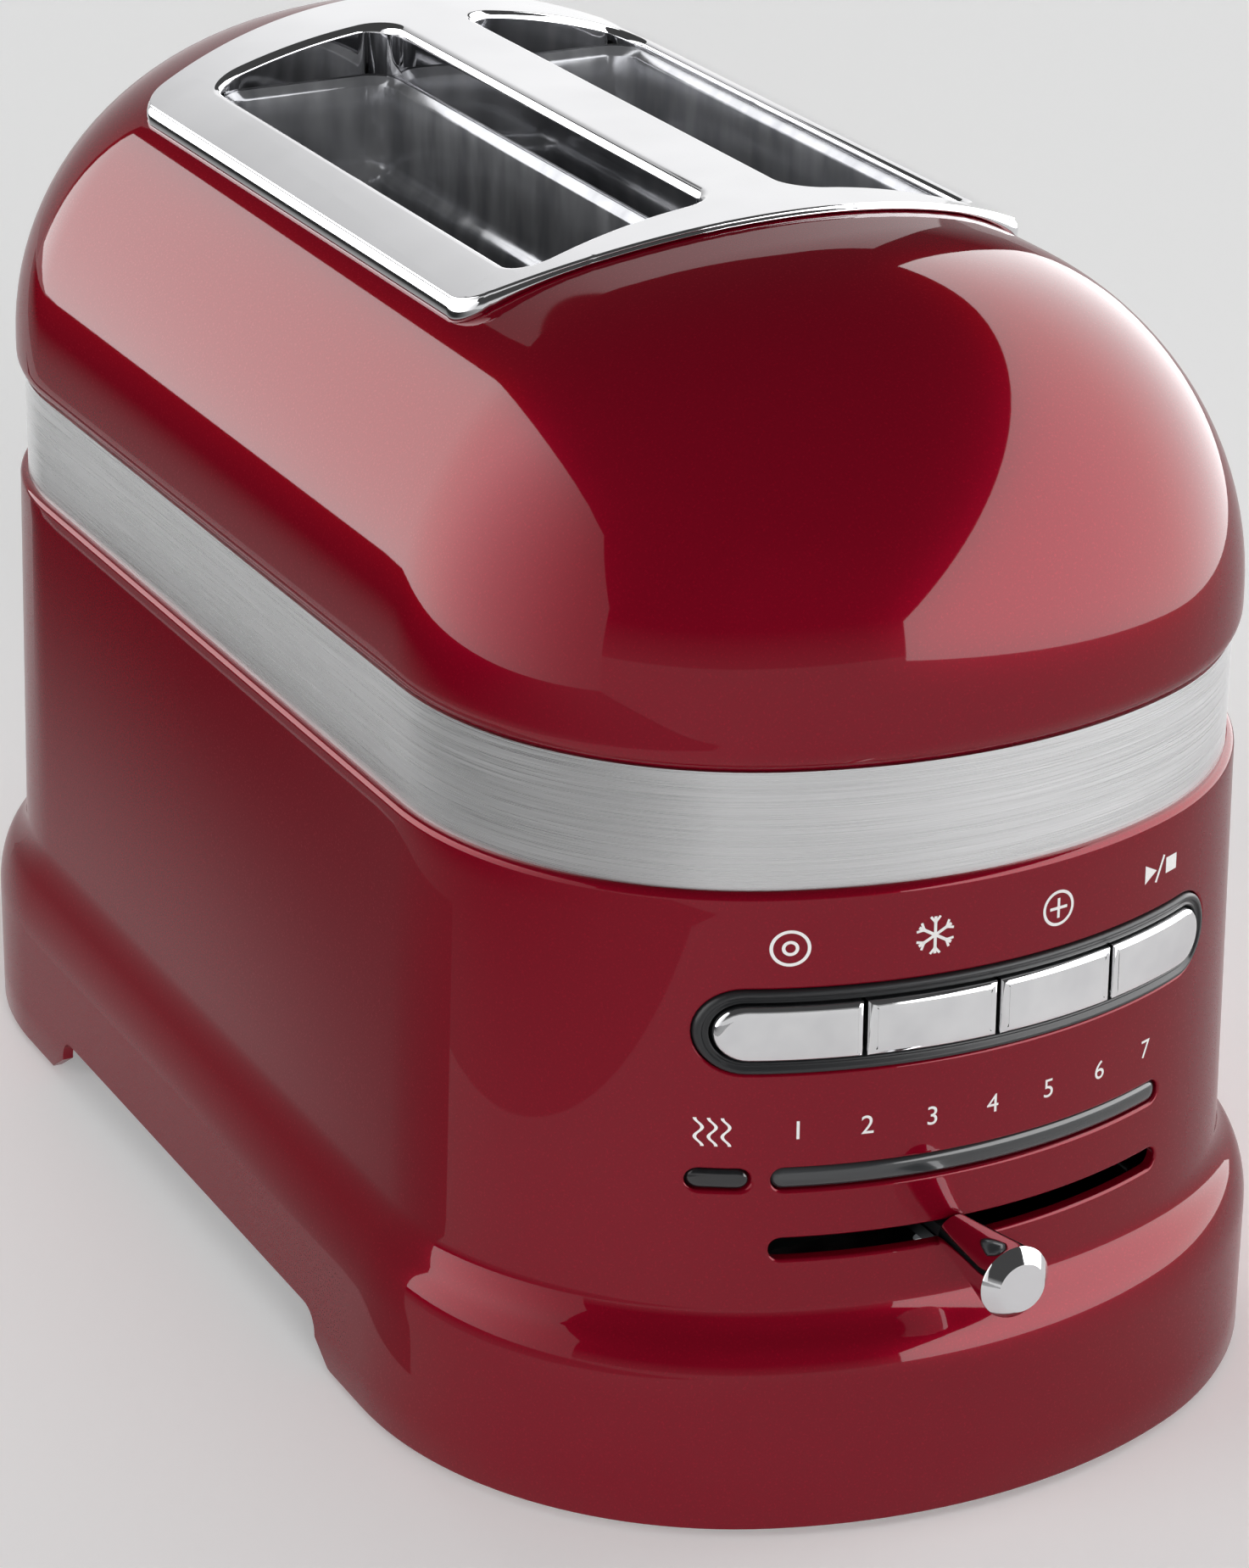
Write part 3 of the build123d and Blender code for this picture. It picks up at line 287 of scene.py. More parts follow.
# The casting's section, as (distance outside the rim's plan, height), up its outer face and
# down its inner one.
profile = [(SKIRT - SKIRT_EDGE, FLOOR_GAP), (SKIRT - SKIRT_BEVEL, FLOOR_GAP + SKIRT_BEVEL)]
profile += [(SKIRT, level) for level in (FLOOR_GAP + SKIRT_EDGE, *SKIRT_LEVELS)]
for degree in SHOULDER_TURNS:
    across = (SKIRT - SHOULDER_FOOT) * cos(radians(degree))
    profile.append((SHOULDER_FOOT + across, SKIRT_TOP + SHOULDER_RISE * sin(radians(degree))))
shoulder_end = Vector(profile[-1])
crease = Vector((wall_spread(CREASE_BEND), CREASE_BEND))
wall_foot = Vector((wall_spread(CREASE_TOP), CREASE_TOP))
for step in range(1, CREASE_STEPS + 1):
    share = step / CREASE_STEPS
    blend = shoulder_end * (1 - share) ** 2 + crease * 2 * share * (1 - share) + wall_foot * share**2
    profile.append(tuple(blend))
profile += [(wall_spread(level), level) for level in WALL_LEVELS]
rim_start = wall_spread(RIM - RIM_ROUND)
for degree in EDGE_TURNS:
    turn = radians(degree)
    profile.append((rim_start - RIM_ROUND * (1 - cos(turn)), RIM - RIM_ROUND * (1 - sin(turn))))
profile += [(-FLANGE, RIM), (-FLANGE, RIM - FLANGE_THICKNESS)]
for level in (RIM - FLANGE_THICKNESS, INNER_LEVEL, SKIRT_TOP):
    profile.append((wall_spread(level) - CAST_WALL, level))
profile += [(SKIRT - CAST_WALL, SKIRT_TOP - CAST_WALL), (SKIRT - CAST_WALL, FLOOR_GAP)]
housing = bmesh.new()
bridge(housing, [plan_ring(grow, height) for grow, height in profile], closed=True)

# Holes in the control face, as x, height, length and width: buttons, scale, keep-warm light, slider.
HOLES = (
    (0, BUTTON_HEIGHT, 111.6, 17.0),
    (0, LENS_HEIGHT, 85.0, 4.6),
    (WARM_X, LENS_HEIGHT, 10.8, 4.6),
    (0, SLIDER_HEIGHT, 85.5, 4.5),
)
FACE_BACK = 110.0
FACE_FRONT = 190.0
SIDE_REACH = 130.0
ARCH_FOOT = 79.0
ARCH_CREST = 63.0
ARCH_HEIGHT = 12.0
ARCH_ROUND = 14.0
ARCH_SWEEP = 53
ARCH_LEAN = 0.6
ARCH_STEPS = 8
ARCH_SPARE = 2.0
TRAY_HALF = 57.4
TRAY_LOW = 14.8
TRAY_HIGH = 26.6
GLAND_RADIUS = 6.7
GLAND_HEIGHT = 62.0
GLAND_STEPS = 48
tools = []
for hole in HOLES:
    grown = inset(oblong(*hole), -HOLE_ROUND)
    tools.append(prism(grown, lambda x, z, y: (x, -y, z), FACE_BACK, FACE_FRONT))
arch = [(-ARCH_FOOT - ARCH_SPARE, -ARCH_SPARE), (ARCH_FOOT + ARCH_SPARE, -ARCH_SPARE)]
for side in (1, -1):
    for step in range(ARCH_STEPS + 1):
        turn = radians(ARCH_SWEEP) * (step / ARCH_STEPS if side > 0 else 1 - step / ARCH_STEPS)
        drop = ARCH_ROUND * (1 - sin(turn + radians(90 - ARCH_SWEEP)))
        arch.append((side * (ARCH_CREST + ARCH_ROUND * (cos(turn) - ARCH_LEAN)), ARCH_HEIGHT - drop))
tools.append(prism(arch, lambda y, z, x: (x, y, z), -SIDE_REACH, SIDE_REACH))
tray_mouth = [(-TRAY_HALF, TRAY_LOW), (TRAY_HALF, TRAY_LOW), (TRAY_HALF, TRAY_HIGH), (-TRAY_HALF, TRAY_HIGH)]
gland_turns = [2 * pi * step / GLAND_STEPS for step in range(GLAND_STEPS)]
gland_hole = [(GLAND_RADIUS * cos(turn), GLAND_HEIGHT + GLAND_RADIUS * sin(turn)) for turn in gland_turns]
for outline in (tray_mouth, gland_hole):
    tools.append(prism(outline, lambda x, z, y: (x, y, z), FACE_BACK, FACE_FRONT))
housing = cut(housing, *tools)
for hole in HOLES:
    rings = []
    for degree in EDGE_TURNS:
        turn = radians(degree)
        outline = inset(oblong(*hole), -HOLE_ROUND * (1 - sin(turn)))
        rings.append([front_point(x, z, -HOLE_ROUND * (1 - cos(turn))) for x, z in outline])
    rings.append([front_point(x, z, -CAST_WALL) for x, z in oblong(*hole)])
    bridge(housing, rings)
piece("housing_shell", housing, enamel, "body", "red_enamel", "lower_housing")

# Brushed band: a strip of stainless steel, brushed along its length, clamped between the
# housing's rim and the dome's lip by spacer posts behind it.
BAND_RECESS = 1.75
BAND_SHEET = 1.0
BAND_TOP = 153.8
# Brushing gives the eye level streaks and highlights that spread up and down. Its lines are drawn
# 0.12 mm wide, coarser than the real ones.
brushed = finish(
    "brushed_stainless_steel", "#cccccd", "#dededf", 0.12, (0.24, 0.36), 0.002, (300, 300, 1), Metallic=1.0
)
band = bmesh.new()
band_rings = [(-BAND_RECESS, RIM), (-BAND_RECESS, BAND_TOP)]
band_rings += [(-BAND_RECESS - BAND_SHEET, BAND_TOP), (-BAND_RECESS - BAND_SHEET, RIM)]
bridge(band, [plan_ring(*ring) for ring in band_rings], closed=True)
piece("band_strip", band, brushed, "body", "brushed_band", "steel_band")

# Dome: a drawn shell in the same enamel, rolled in at its lower lip, with two openings that
# the bezel hides. It is screwed down through the spacer posts.
LIP_RADIUS = 6.0
LIP_TURN = 54
LIP_STEP = 6
DOME_SPRING = 161.0
DOME_CROWN = 70.5
DOME_ARCH = 138.0
DOME_WALL = 1.8
DOME_TURNS = list(range(0, 84, 3)) + [84, 86, 87.5, 88.6, 89.5]
ARCH_DROP = DOME_ARCH - DOME_CROWN
SHOULDER = (DOME_ARCH**2 - HALF_WIDTH**2 - ARCH_DROP**2) / 2 / (DOME_ARCH - HALF_WIDTH)
SHOULDER_TURN = atan2(ARCH_DROP, HALF_WIDTH - SHOULDER)
SLOT_WIDTH = 41.0
SLOT_X = 29.5
SLOT_FRONT = 68.0
SLOT_BACK = 79.0
SLOT_CORNER = 7.0
SLOT_STEPS = 12
OPENING_SPARE = 3.0
OPENING_LOW = 170.0
OPENING_HIGH = 240.0


def dome_ring(rise, depth):
    """Level section of the dome at a rise above its spring, moved inwards by depth."""
    if rise < (SHOULDER - depth) * sin(SHOULDER_TURN):
        half_width = HALF_WIDTH - SHOULDER + sqrt((SHOULDER - depth) ** 2 - rise**2)
    else:
        half_width = sqrt((DOME_ARCH - depth) ** 2 - (rise + ARCH_DROP) ** 2)
    half_length = HALF_LENGTH - DOME_CROWN + sqrt((DOME_CROWN - depth) ** 2 - rise**2)
    share = half_width / HALF_WIDTH
    outline = plan_points(half_width, half_length, END_RADIUS * share, CORNER_RADIUS * share)
    return [(x, y, DOME_SPRING + rise) for x, y in outline]


def dome_height(x):
    """Height of the dome's arch under the bezel."""
    if abs(x) < DOME_ARCH * cos(SHOULDER_TURN):
        return DOME_SPRING - ARCH_DROP + sqrt(DOME_ARCH**2 - x**2)
    return DOME_SPRING + sqrt(SHOULDER**2 - (abs(x) - HALF_WIDTH + SHOULDER) ** 2)


def slot_points(side, grow):
    """Outline of one bread slot, moved outwards by grow."""
    radius = SLOT_CORNER + grow
    reach_x = SLOT_WIDTH / 2 - SLOT_CORNER
    reach_y = (SLOT_FRONT + SLOT_BACK) / 2 - SLOT_CORNER
    middle_y = (SLOT_BACK - SLOT_FRONT) / 2
    points = []
    for corner, (way_x, way_y) in enumerate(((1, 1), (-1, 1), (-1, -1), (1, -1))):
        for step in range(SLOT_STEPS + 1):
            turn = pi / 2 * (corner + step / SLOT_STEPS)
            x = side * SLOT_X + way_x * reach_x + radius * cos(turn)
            points.append((x, middle_y + way_y * reach_y + radius * sin(turn)))
    return points


rings = [plan_ring(-FLANGE, BAND_TOP + FLANGE_THICKNESS), plan_ring(-FLANGE, BAND_TOP)]
for degree in range(LIP_TURN, -1, -LIP_STEP):
    turn = radians(degree)
    height = BAND_TOP + LIP_RADIUS * (sin(radians(LIP_TURN)) - sin(turn))
    rings.append(plan_ring(-LIP_RADIUS * (1 - cos(turn)), height))
rings += [dome_ring(DOME_CROWN * sin(radians(degree)), 0) for degree in DOME_TURNS]
dome = bmesh.new()
outer = bridge(dome, rings)
bmesh.ops.contextual_create(dome, geom=outer[-1])
rings = [plan_ring(-DOME_WALL, BAND_TOP + FLANGE_THICKNESS)]
for degree in DOME_TURNS[::2]:
    rings.append(dome_ring((DOME_CROWN - DOME_WALL) * sin(radians(degree)), DOME_WALL))
inner = bridge(dome, rings)
bmesh.ops.contextual_create(dome, geom=inner[-1])
bmesh.ops.bridge_loops(dome, edges=outer[0] + inner[0])
tools = []
for side in (-1, 1):
    opening = slot_points(side, OPENING_SPARE)
    tools.append(prism(opening, lambda x, y, z: (x, y, z), OPENING_LOW, OPENING_HIGH))
piece("dome_cover", cut(dome, *tools), enamel, "body", "red_enamel", "dome_shell")

# Bezel: a die-cast frame round both slots, polished and chromed, with a rolled outer edge on
# a small bead and a round bar between the slots. Studs hold it to the dome from below.
BEZEL_TOP = 233.0
BEZEL_ARCH = 140.0
BEZEL_HALF = 62.5
BEZEL_CORNER = 9.0
BEZEL_WALL = 0.6
BEZEL_ROLL = 0.5
BEZEL_BEAD = 0.7
BEZEL_SEAT = 0.1
FRONT_RADIUS = 130.0
FRONT_CENTRE = 47.0
FRONT_STEPS = 48
BACK_RADIUS = 203.5
BACK_CENTRE = -103.0
BACK_STEPS = 32
TURN_STEPS = 12
MOUTH_ROLL = 1.6
MOUTH_FOOT = 219.0
BAR_ROLL = 2.4
ROLL_STEPS = 10
CELL = 3.0
LONG_CELL = 9.0
SMALLEST_EDGE = 0.2
SHINE_WEIGHT = 90
# The outer edge below its roll, as (share of the bead outwards, share of the way down to the dome).
BEZEL_EDGE = ((0, 0.08), (0.5, 0.17), (0.85, 0.32), (1, 0.5), (0.93, 0.72), (0.65, 1))
MOUTH_EDGE = ((0, 1),)


def bezel_points(depth):
    """Outline of the bezel, moved inwards by depth."""
    corner_x = BEZEL_HALF - BEZEL_CORNER
    front_lean = asin(corner_x / (FRONT_RADIUS - BEZEL_CORNER))
    back_lean = asin(corner_x / (BACK_RADIUS - BEZEL_CORNER))
    front_y = FRONT_CENTRE - (FRONT_RADIUS - BEZEL_CORNER) * cos(front_lean)
    back_y = BACK_CENTRE + (BACK_RADIUS - BEZEL_CORNER) * cos(back_lean)
    radius = BEZEL_CORNER - depth
    right = []
    for step in range(FRONT_STEPS):
        turn = front_lean * step / FRONT_STEPS
        right.append(((FRONT_RADIUS - depth) * sin(turn), FRONT_CENTRE - (FRONT_RADIUS - depth) * cos(turn)))
    for step in range(TURN_STEPS + 1):
        turn = front_lean + (pi / 2 - front_lean) * step / TURN_STEPS
        right.append((corner_x + radius * sin(turn), front_y - radius * cos(turn)))
    for step in range(TURN_STEPS + 1):
        turn = back_lean + (pi / 2 - back_lean) * (1 - step / TURN_STEPS)
        right.append((corner_x + radius * sin(turn), back_y + radius * cos(turn)))
    for step in range(1, BACK_STEPS + 1):
        turn = back_lean * (1 - step / BACK_STEPS)
        right.append(((BACK_RADIUS - depth) * sin(turn), BACK_CENTRE + (BACK_RADIUS - depth) * cos(turn)))
    return right + [(-x, y) for x, y in reversed(right[1:-1])]


def roll_size(way, x):
    """Radius of the slot's edge, which is larger along the middle bar."""
    return MOUTH_ROLL + (BAR_ROLL - MOUTH_ROLL) * max(0, way.x * (1 if x > 0 else -1))


def extrude_ring(bm, edges, notes):
    """Extrudes a ring of edges, and hands each point's notes on to the point that comes from it."""
    made = bmesh.ops.extrude_edge_only(bm, edges=edges)["geom"]
    fresh = {part for part in made if isinstance(part, bmesh.types.BMVert)}
    grown = [part for part in made if isinstance(part, bmesh.types.BMEdge)]
    ring = [edge for edge in grown if edge.verts[0] in fresh and edge.verts[1] in fresh]
    passed = {}
    for edge in bm.edges:
        first, second = edge.verts
        if first in fresh and second not in fresh:
            passed[first] = notes[second]
        elif second in fresh and first not in fresh:
            passed[second] = notes[first]
    return ring, passed


bezel = bmesh.new()
outline = bezel_points(BEZEL_ROLL + BEZEL_BEAD)
loops = add_loop(bezel, [(x * (1 + BEZEL_ROLL / BEZEL_ARCH), y, 0) for x, y in outline])
for side in (-1, 1):
    outline = []
    for (x, y), (far_x, far_y) in zip(slot_points(side, 0), slot_points(side, 1)):
        size = roll_size(Vector((x - far_x, y - far_y)), x)
        outline.append((x + (far_x - x) * size + size * x / BEZEL_ARCH, y + (far_y - y) * size, 0))
    loops += add_loop(bezel, outline)
bmesh.ops.triangle_fill(bezel, edges=loops, use_beauty=True)
planes = [((step * CELL, 0, 0), (1, 0, 0)) for step in range(-22, 23)]
planes += [((0, step * LONG_CELL, 0), (0, 1, 0)) for step in range(-10, 12)]
for point, normal in planes:
    everything = bezel.verts[:] + bezel.edges[:] + bezel.faces[:]
    bmesh.ops.bisect_plane(bezel, geom=everything, plane_co=point, plane_no=normal)
bmesh.ops.remove_doubles(bezel, verts=bezel.verts, dist=SMALLEST_EDGE)
ways = {}
for edge in bezel.edges:
    if edge.is_boundary:
        along = (edge.verts[1].co - edge.verts[0].co).normalized()
        across = Vector((along.y, -along.x, 0))
        if across.dot(edge.verts[0].co - edge.link_faces[0].calc_center_median()) < 0:
            across.negate()
        for vert in edge.verts:
            ways[vert] = ways.get(vert, Vector()) + across
for vert in bezel.verts:
    vert.co.z = BEZEL_TOP - BEZEL_ARCH + sqrt(BEZEL_ARCH**2 - vert.co.x**2)
rolls = {}
for vert, way in ways.items():
    up = Vector((vert.co.x, 0, vert.co.z - BEZEL_TOP + BEZEL_ARCH)).normalized()
    rolls[vert] = (vert.co.copy(), up, way.normalized())
todo = dict.fromkeys(edge for edge in bezel.edges if edge.is_boundary)
rims = []
while todo:
    seed = [todo.popitem()[0]]
    rim = seed[:]
    while seed:
        for vert in seed.pop().verts:
            for edge in vert.link_edges:
                if edge in todo:
                    del todo[edge]
                    rim.append(edge)
                    seed.append(edge)
    rims.append(rim)
rims.sort(key=lambda rim: -max(abs(edge.verts[0].co.x) for edge in rim))
for place, ring in enumerate(rims):
    outside = place == 0
    notes = rolls
    for step in range(1, ROLL_STEPS + 1):
        ring, notes = extrude_ring(bezel, ring, notes)
        for vert, (foot, up, way) in notes.items():
            size = BEZEL_ROLL if outside else roll_size(way, foot.x)
            vert.co = foot - up * size + up.slerp(way, step / ROLL_STEPS) * size
    for out, drop in BEZEL_EDGE if outside else MOUTH_EDGE:
        ring, notes = extrude_ring(bezel, ring, notes)
        for vert, (foot, up, way) in notes.items():
            size = BEZEL_ROLL if outside else roll_size(way, foot.x)
            base = foot - up * size + way * size
            vert.co = base + way * (out * BEZEL_BEAD)
            seat = dome_height(min(abs(vert.co.x), BEZEL_HALF)) + BEZEL_SEAT if outside else MOUTH_FOOT
            vert.co.z = base.z + (seat - base.z) * drop
# Polished chrome gives the eye an almost unblurred mirror of the room. Its slow change over 30 mm
# is what polishing by hand leaves.
chrome = finish("polished_chrome", "#dcdcde", "#e6e6e8", 30, (0.03, 0.07), Metallic=1.0)
bezel_frame = piece("bezel_frame", bezel, chrome, "body", "bright_chrome", "top_bezel", sharp=50)
bezel_wall = bezel_frame.modifiers.new("wall", "SOLIDIFY")
bezel_wall.thickness = BEZEL_WALL / 1000
bezel_wall.offset = -1
bezel_shine = bezel_frame.modifiers.new("shine", "WEIGHTED_NORMAL")
bezel_shine.keep_sharp = True
bezel_shine.weight = SHINE_WEIGHT

# Slot liners: drawn steel tubes with a rolled lip just inside the bezel and a ledge part of the
# way down. They hang from the dome and keep crumbs and hands off the heaters.
# Their section is given as (depth inside the slot's outline, height).
LINER_LIP = ((0.1, 218.5), (0.1, 220.9), (0.25, 221.3), (0.6, 221.4), (1.8, 220.1), (2.1, 219.4))
LINER_WALL = ((2.1, 210.0), (2.1, 204.5), (2.2, 202.8), (2.6, 201.6), (3.2, 200.9), (3.9, 200.3))
LINER_FOOT = ((4.4, 199.4), (4.6, 198.0), (4.6, 188.0), (4.6, 176.0), (3.6, 176.0))
LINER_BACK = ((3.6, 198.5), (0.9, 200.0), (0.9, 218.0))
# Drawn steel that has been hot gives the eye upright grey streaks and a half-dulled mirror.
liner_steel = finish(
    "drawn_liner_steel", "#85868a", "#a6a7aa", 7.0, (0.12, 0.24), 0.004, (1, 1, 3), Metallic=0.55
)
for side, name in ((-1, "left"), (1, "right")):
    liner = bmesh.new()
    rings = []
    for depth, height in LINER_LIP + LINER_WALL + LINER_FOOT + LINER_BACK:
        rings.append([(x, y, height) for x, y in slot_points(side, -depth)])
    bridge(liner, rings, closed=True)
    piece(f"{name}_liner_tube", liner, liner_steel, "body", "liner_steel", f"{name}_slot_liner", sharp=60)

# Button surround: a dark moulded tube with a raised ridge, pushed in from behind the casting
# so that its rim stands a little proud of the enamel.
# Its section is given as (depth inside its outline, distance in front of the face).
SURROUND_LENGTH = 111.2
SURROUND_HEIGHT = 16.6
RIDGE_OUTER = ((0, -3.0), (0, 0.2), (0.25, 0.5), (0.6, 0.6), (0.95, 0.5), (1.3, 0.1))
RIDGE_INNER = ((1.7, 0.0), (2.0, 0.2), (2.25, 0.1), (2.4, -0.3), (2.4, -6.0), (1.4, -6.0))
# A fine moulded grain gives the eye a soft, dark sheen.
surround_plastic = finish(
    "dark_moulded_plastic", "#1d1e20", "#242527", 0.15, (0.32, 0.45), 0.004, Specular_IOR_Level=0.5
)
surround = bmesh.new()
base_outline = oblong(0, BUTTON_HEIGHT, SURROUND_LENGTH, SURROUND_HEIGHT)
rings = []
for depth, out in RIDGE_OUTER + RIDGE_INNER:
    rings.append([front_point(x, z, out) for x, z in inset(base_outline, depth)])
bridge(surround, rings, closed=True)
piece("surround_rim", surround, surround_plastic, "body", "surround_plastic", "button_surround", sharp=40)

# Buttons: four moulded caps, chromed, with bevelled edges and narrow gaps. Each slides square
# to the curved face on a stem that works a switch.
BUTTON_NAMES = ("one_side_button", "frozen_button", "longer_button", "start_button")
BUTTON_JOINT = 26.6
BUTTON_GAP = 0.8
ROW_END = 100.0
CAP_LENGTH = 105.6
CAP_HEIGHT = 11.0
CAP_STEPS = 16
CAP_PROFILE = ((0, -3.6), (0, 0.55), (0.12, 0.85), (0.4, 1.1), (0.8, 1.25), (1.3, 1.35), (2.0, 1.4))
# Chrome on moulded plastic gives the eye a bright mirror, a little softer than the bezel's.
satin_chrome = finish("satin_chrome", "#e0e0e2", "#ebebec", 9.0, (0.06, 0.1), Metallic=1.0)


def cap_outline(low, high):
    """Outline of one button between two joints, round where the row ends."""
    radius = CAP_HEIGHT / 2
    reach = CAP_LENGTH / 2 - radius
    start = max(low, -reach)
    stop = min(high, reach)
    shares = [step / CAP_STEPS for step in range(CAP_STEPS + 1)]
    turns = [pi * share for share in shares[1:-1]]
    points = [(start + (stop - start) * share, BUTTON_HEIGHT - radius) for share in shares]
    if high > reach:
        points += [(reach + radius * sin(turn), BUTTON_HEIGHT - radius * cos(turn)) for turn in turns]
    points += [(stop + (start - stop) * share, BUTTON_HEIGHT + radius) for share in shares]
    if low < -reach:
        points += [(-reach - radius * sin(turn), BUTTON_HEIGHT + radius * cos(turn)) for turn in turns]
    return points


def face_cap(outline, middle, rings):
    """Cap that follows the control face: rings round its outline, closed along a middle line."""
    bm = bmesh.new()
    skins = [[front_point(x, z, out) for x, z in inset(outline, depth)] for depth, out in rings]
    top_depth, top_out = rings[-1]
    skins.append([front_point(x, middle, top_out) for x, _ in inset(outline, top_depth)])
    skins.insert(0, [front_point(x, middle, rings[0][1]) for x, _ in outline])
    bridge(bm, skins)
    bmesh.ops.remove_doubles(bm, verts=bm.verts, dist=0.001)
    return bm


for place, name in enumerate(BUTTON_NAMES):
    low = (place - 2) * BUTTON_JOINT + BUTTON_GAP / 2 if place else -ROW_END
    high = (place - 1) * BUTTON_JOINT - BUTTON_GAP / 2 if place < 3 else ROW_END
    button = face_cap(cap_outline(low, high), BUTTON_HEIGHT, CAP_PROFILE)
    piece(f"{name}_cap", button, satin_chrome, name, "bright_chrome", name, sharp=50)

# Lenses: smoked strips pressed in behind the enamel, the long one over the browning lights and
# the short one over the keep-warm light.
LENS_WIDTH = 4.2
SCALE_LENGTH = 84.6
WARM_LENGTH = 10.4
LENS_PROFILE = ((0, -3.4), (0, -1.1), (0.2, -0.75), (0.5, -0.5), (1.0, -0.34), (1.6, -0.26))
# Smoked polycarbonate gives the eye a dark grey gloss with faint level streaks.
smoked = finish(
    "smoked_polycarbonate", "#2b2d2f", "#3e4042", 3.0, (0.16, 0.24), 0.0, (20, 20, 1), Coat_Weight=0.6
)
# Black polycarbonate gives the eye a hard, nearly black gloss.
black_lens = finish("black_polycarbonate", "#111214", "#18191b", 2.0, (0.12, 0.2), 0.0, Coat_Weight=0.6)
lens = face_cap(oblong(0, LENS_HEIGHT, SCALE_LENGTH, LENS_WIDTH), LENS_HEIGHT, LENS_PROFILE)
piece("scale_window", lens, smoked, "body", "smoked_lens", "indicator_lens", sharp=50)
lens = face_cap(oblong(WARM_X, LENS_HEIGHT, WARM_LENGTH, LENS_WIDTH), LENS_HEIGHT, LENS_PROFILE)
piece("keep_warm_window", lens, black_lens, "body", "smoked_lens", "keep_warm_lens", sharp=50)

# Shade knob: a turned and chromed flared knob with a bevelled end, pressed on the stem of the
# slide control. Its section is given as (radius, distance from its root).
KNOB_X = -8.0
KNOB_GAP = 0.8
KNOB_STEPS = 64
KNOB_FLARE = ((0, 0), (3.4, 0), (3.75, 0.35), (4.6, 6), (5.6, 12.5), (6.6, 18.2), (7.1, 20.9))
KNOB_END = ((7.25, 21.3), (7.1, 21.7), (5.2, 23.7), (4.9, 24.0), (0, 24.0))
knob_root = front_point(0, SLIDER_HEIGHT, 0)[1] - KNOB_GAP
knob = bmesh.new()
verts = []
for radius, along in KNOB_FLARE + KNOB_END:
    verts.append(knob.verts.new((KNOB_X + radius, knob_root - along, SLIDER_HEIGHT)))
spine = [knob.edges.new(pair) for pair in zip(verts, verts[1:])]
bmesh.ops.spin(
    knob,
    geom=verts + spine,
    cent=(KNOB_X, 0, SLIDER_HEIGHT),
    axis=(0, 1, 0),
    angle=2 * pi,
    steps=KNOB_STEPS,
    use_merge=True,
)
bmesh.ops.remove_doubles(knob, verts=knob.verts, dist=0.001)
piece("knob_turned", knob, chrome, "shade_slider", "bright_chrome", "shade_knob", sharp=25)

# Printed marks: white ink on the enamel, plain numbers over the browning scale and generic
# signs over the buttons and the keep-warm light.
INK_LIFT = 0.05
STROKE = 0.6
NUMBER_SIZE = 5.4
NUMBER_PITCH = 12.7
NUMBER_HEIGHT = 82.7
SIGN_HEIGHT = 119.8
SIGN_RADIUS = 3.6
SIGN_X = (-40, -13.3, 13.3, 40)
DOT_RADIUS = 1.5
CROSS = 4.0
FLAKE = 7.4
TWIG = 1.8
TWIG_STROKE = 0.5
TWIG_ROOT = 2.55
TWIG_SHIFT = 0.6
TWIG_LEAN = 0.7
START_X = -3.2
START_RADIUS = 2.2
SLASH = 5.4
SLASH_TURN = 65
STOP_X = 3.4
STOP_HALF = 1.6
HEAT_X = -52.5
HEAT_GAP = 2.2
HEAT_HALF = (0.28, 2.9)
HEAT_SWING = 0.6
HEAT_WAVE = 1.9
# Ink gives the eye a matt, even white.
ink = finish("white_ink", "#e9e7e6", "#f4f2f1", 0.3, (0.5, 0.62))
marks = bmesh.new()


def print_on(bm, x, z):
    """Lays a flat drawing on the control face round a point."""
    for vert in bm.verts:
        vert.co = front_point(x + vert.co.x, z + vert.co.y, INK_LIFT)
    mesh = bpy.data.meshes.new("print")
    bm.to_mesh(mesh)
    bm.free()
    marks.from_mesh(mesh)
    bpy.data.meshes.remove(mesh)


def bar(bm, length, width, turn, x=0.0, y=0.0):
    """Straight stroke of a sign."""
    size = Matrix.Diagonal((length / 2, width / 2, 1, 1))
    place = Matrix.Translation((x, y, 0)) @ Matrix.Rotation(turn, 4, "Z") @ size
    bmesh.ops.create_grid(bm, x_segments=4, y_segments=1, size=1.0, matrix=place)


def ring_sign(bm, radius, width):
    """Round stroke of a sign."""
    made = bmesh.ops.create_circle(bm, cap_ends=True, radius=radius, segments=40)
    faces = list({face for vert in made["verts"] for face in vert.link_faces})
    bmesh.ops.inset_region(bm, faces=faces, thickness=width, use_boundary=True, use_even_offset=True)
    bmesh.ops.delete(bm, geom=faces, context="FACES_ONLY")


for place in range(7):
    letters = bpy.data.curves.new("number", "FONT")
    letters.body = str(place + 1)
    letters.size = NUMBER_SIZE
    letters.align_x = "CENTER"
    letters.align_y = "CENTER"
    thing = bpy.data.objects.new("number", letters)
    bpy.context.collection.objects.link(thing)
    flat = bpy.data.meshes.new_from_object(thing.evaluated_get(bpy.context.evaluated_depsgraph_get()))
    number = bmesh.new()
    number.from_mesh(flat)
    print_on(number, (place - 3) * NUMBER_PITCH, NUMBER_HEIGHT)
    bpy.data.objects.remove(thing)
    bpy.data.meshes.remove(flat)

# One side: a ring in a ring.
sign = bmesh.new()
ring_sign(sign, SIGN_RADIUS, STROKE)
ring_sign(sign, DOT_RADIUS, STROKE)
print_on(sign, SIGN_X[0], SIGN_HEIGHT)

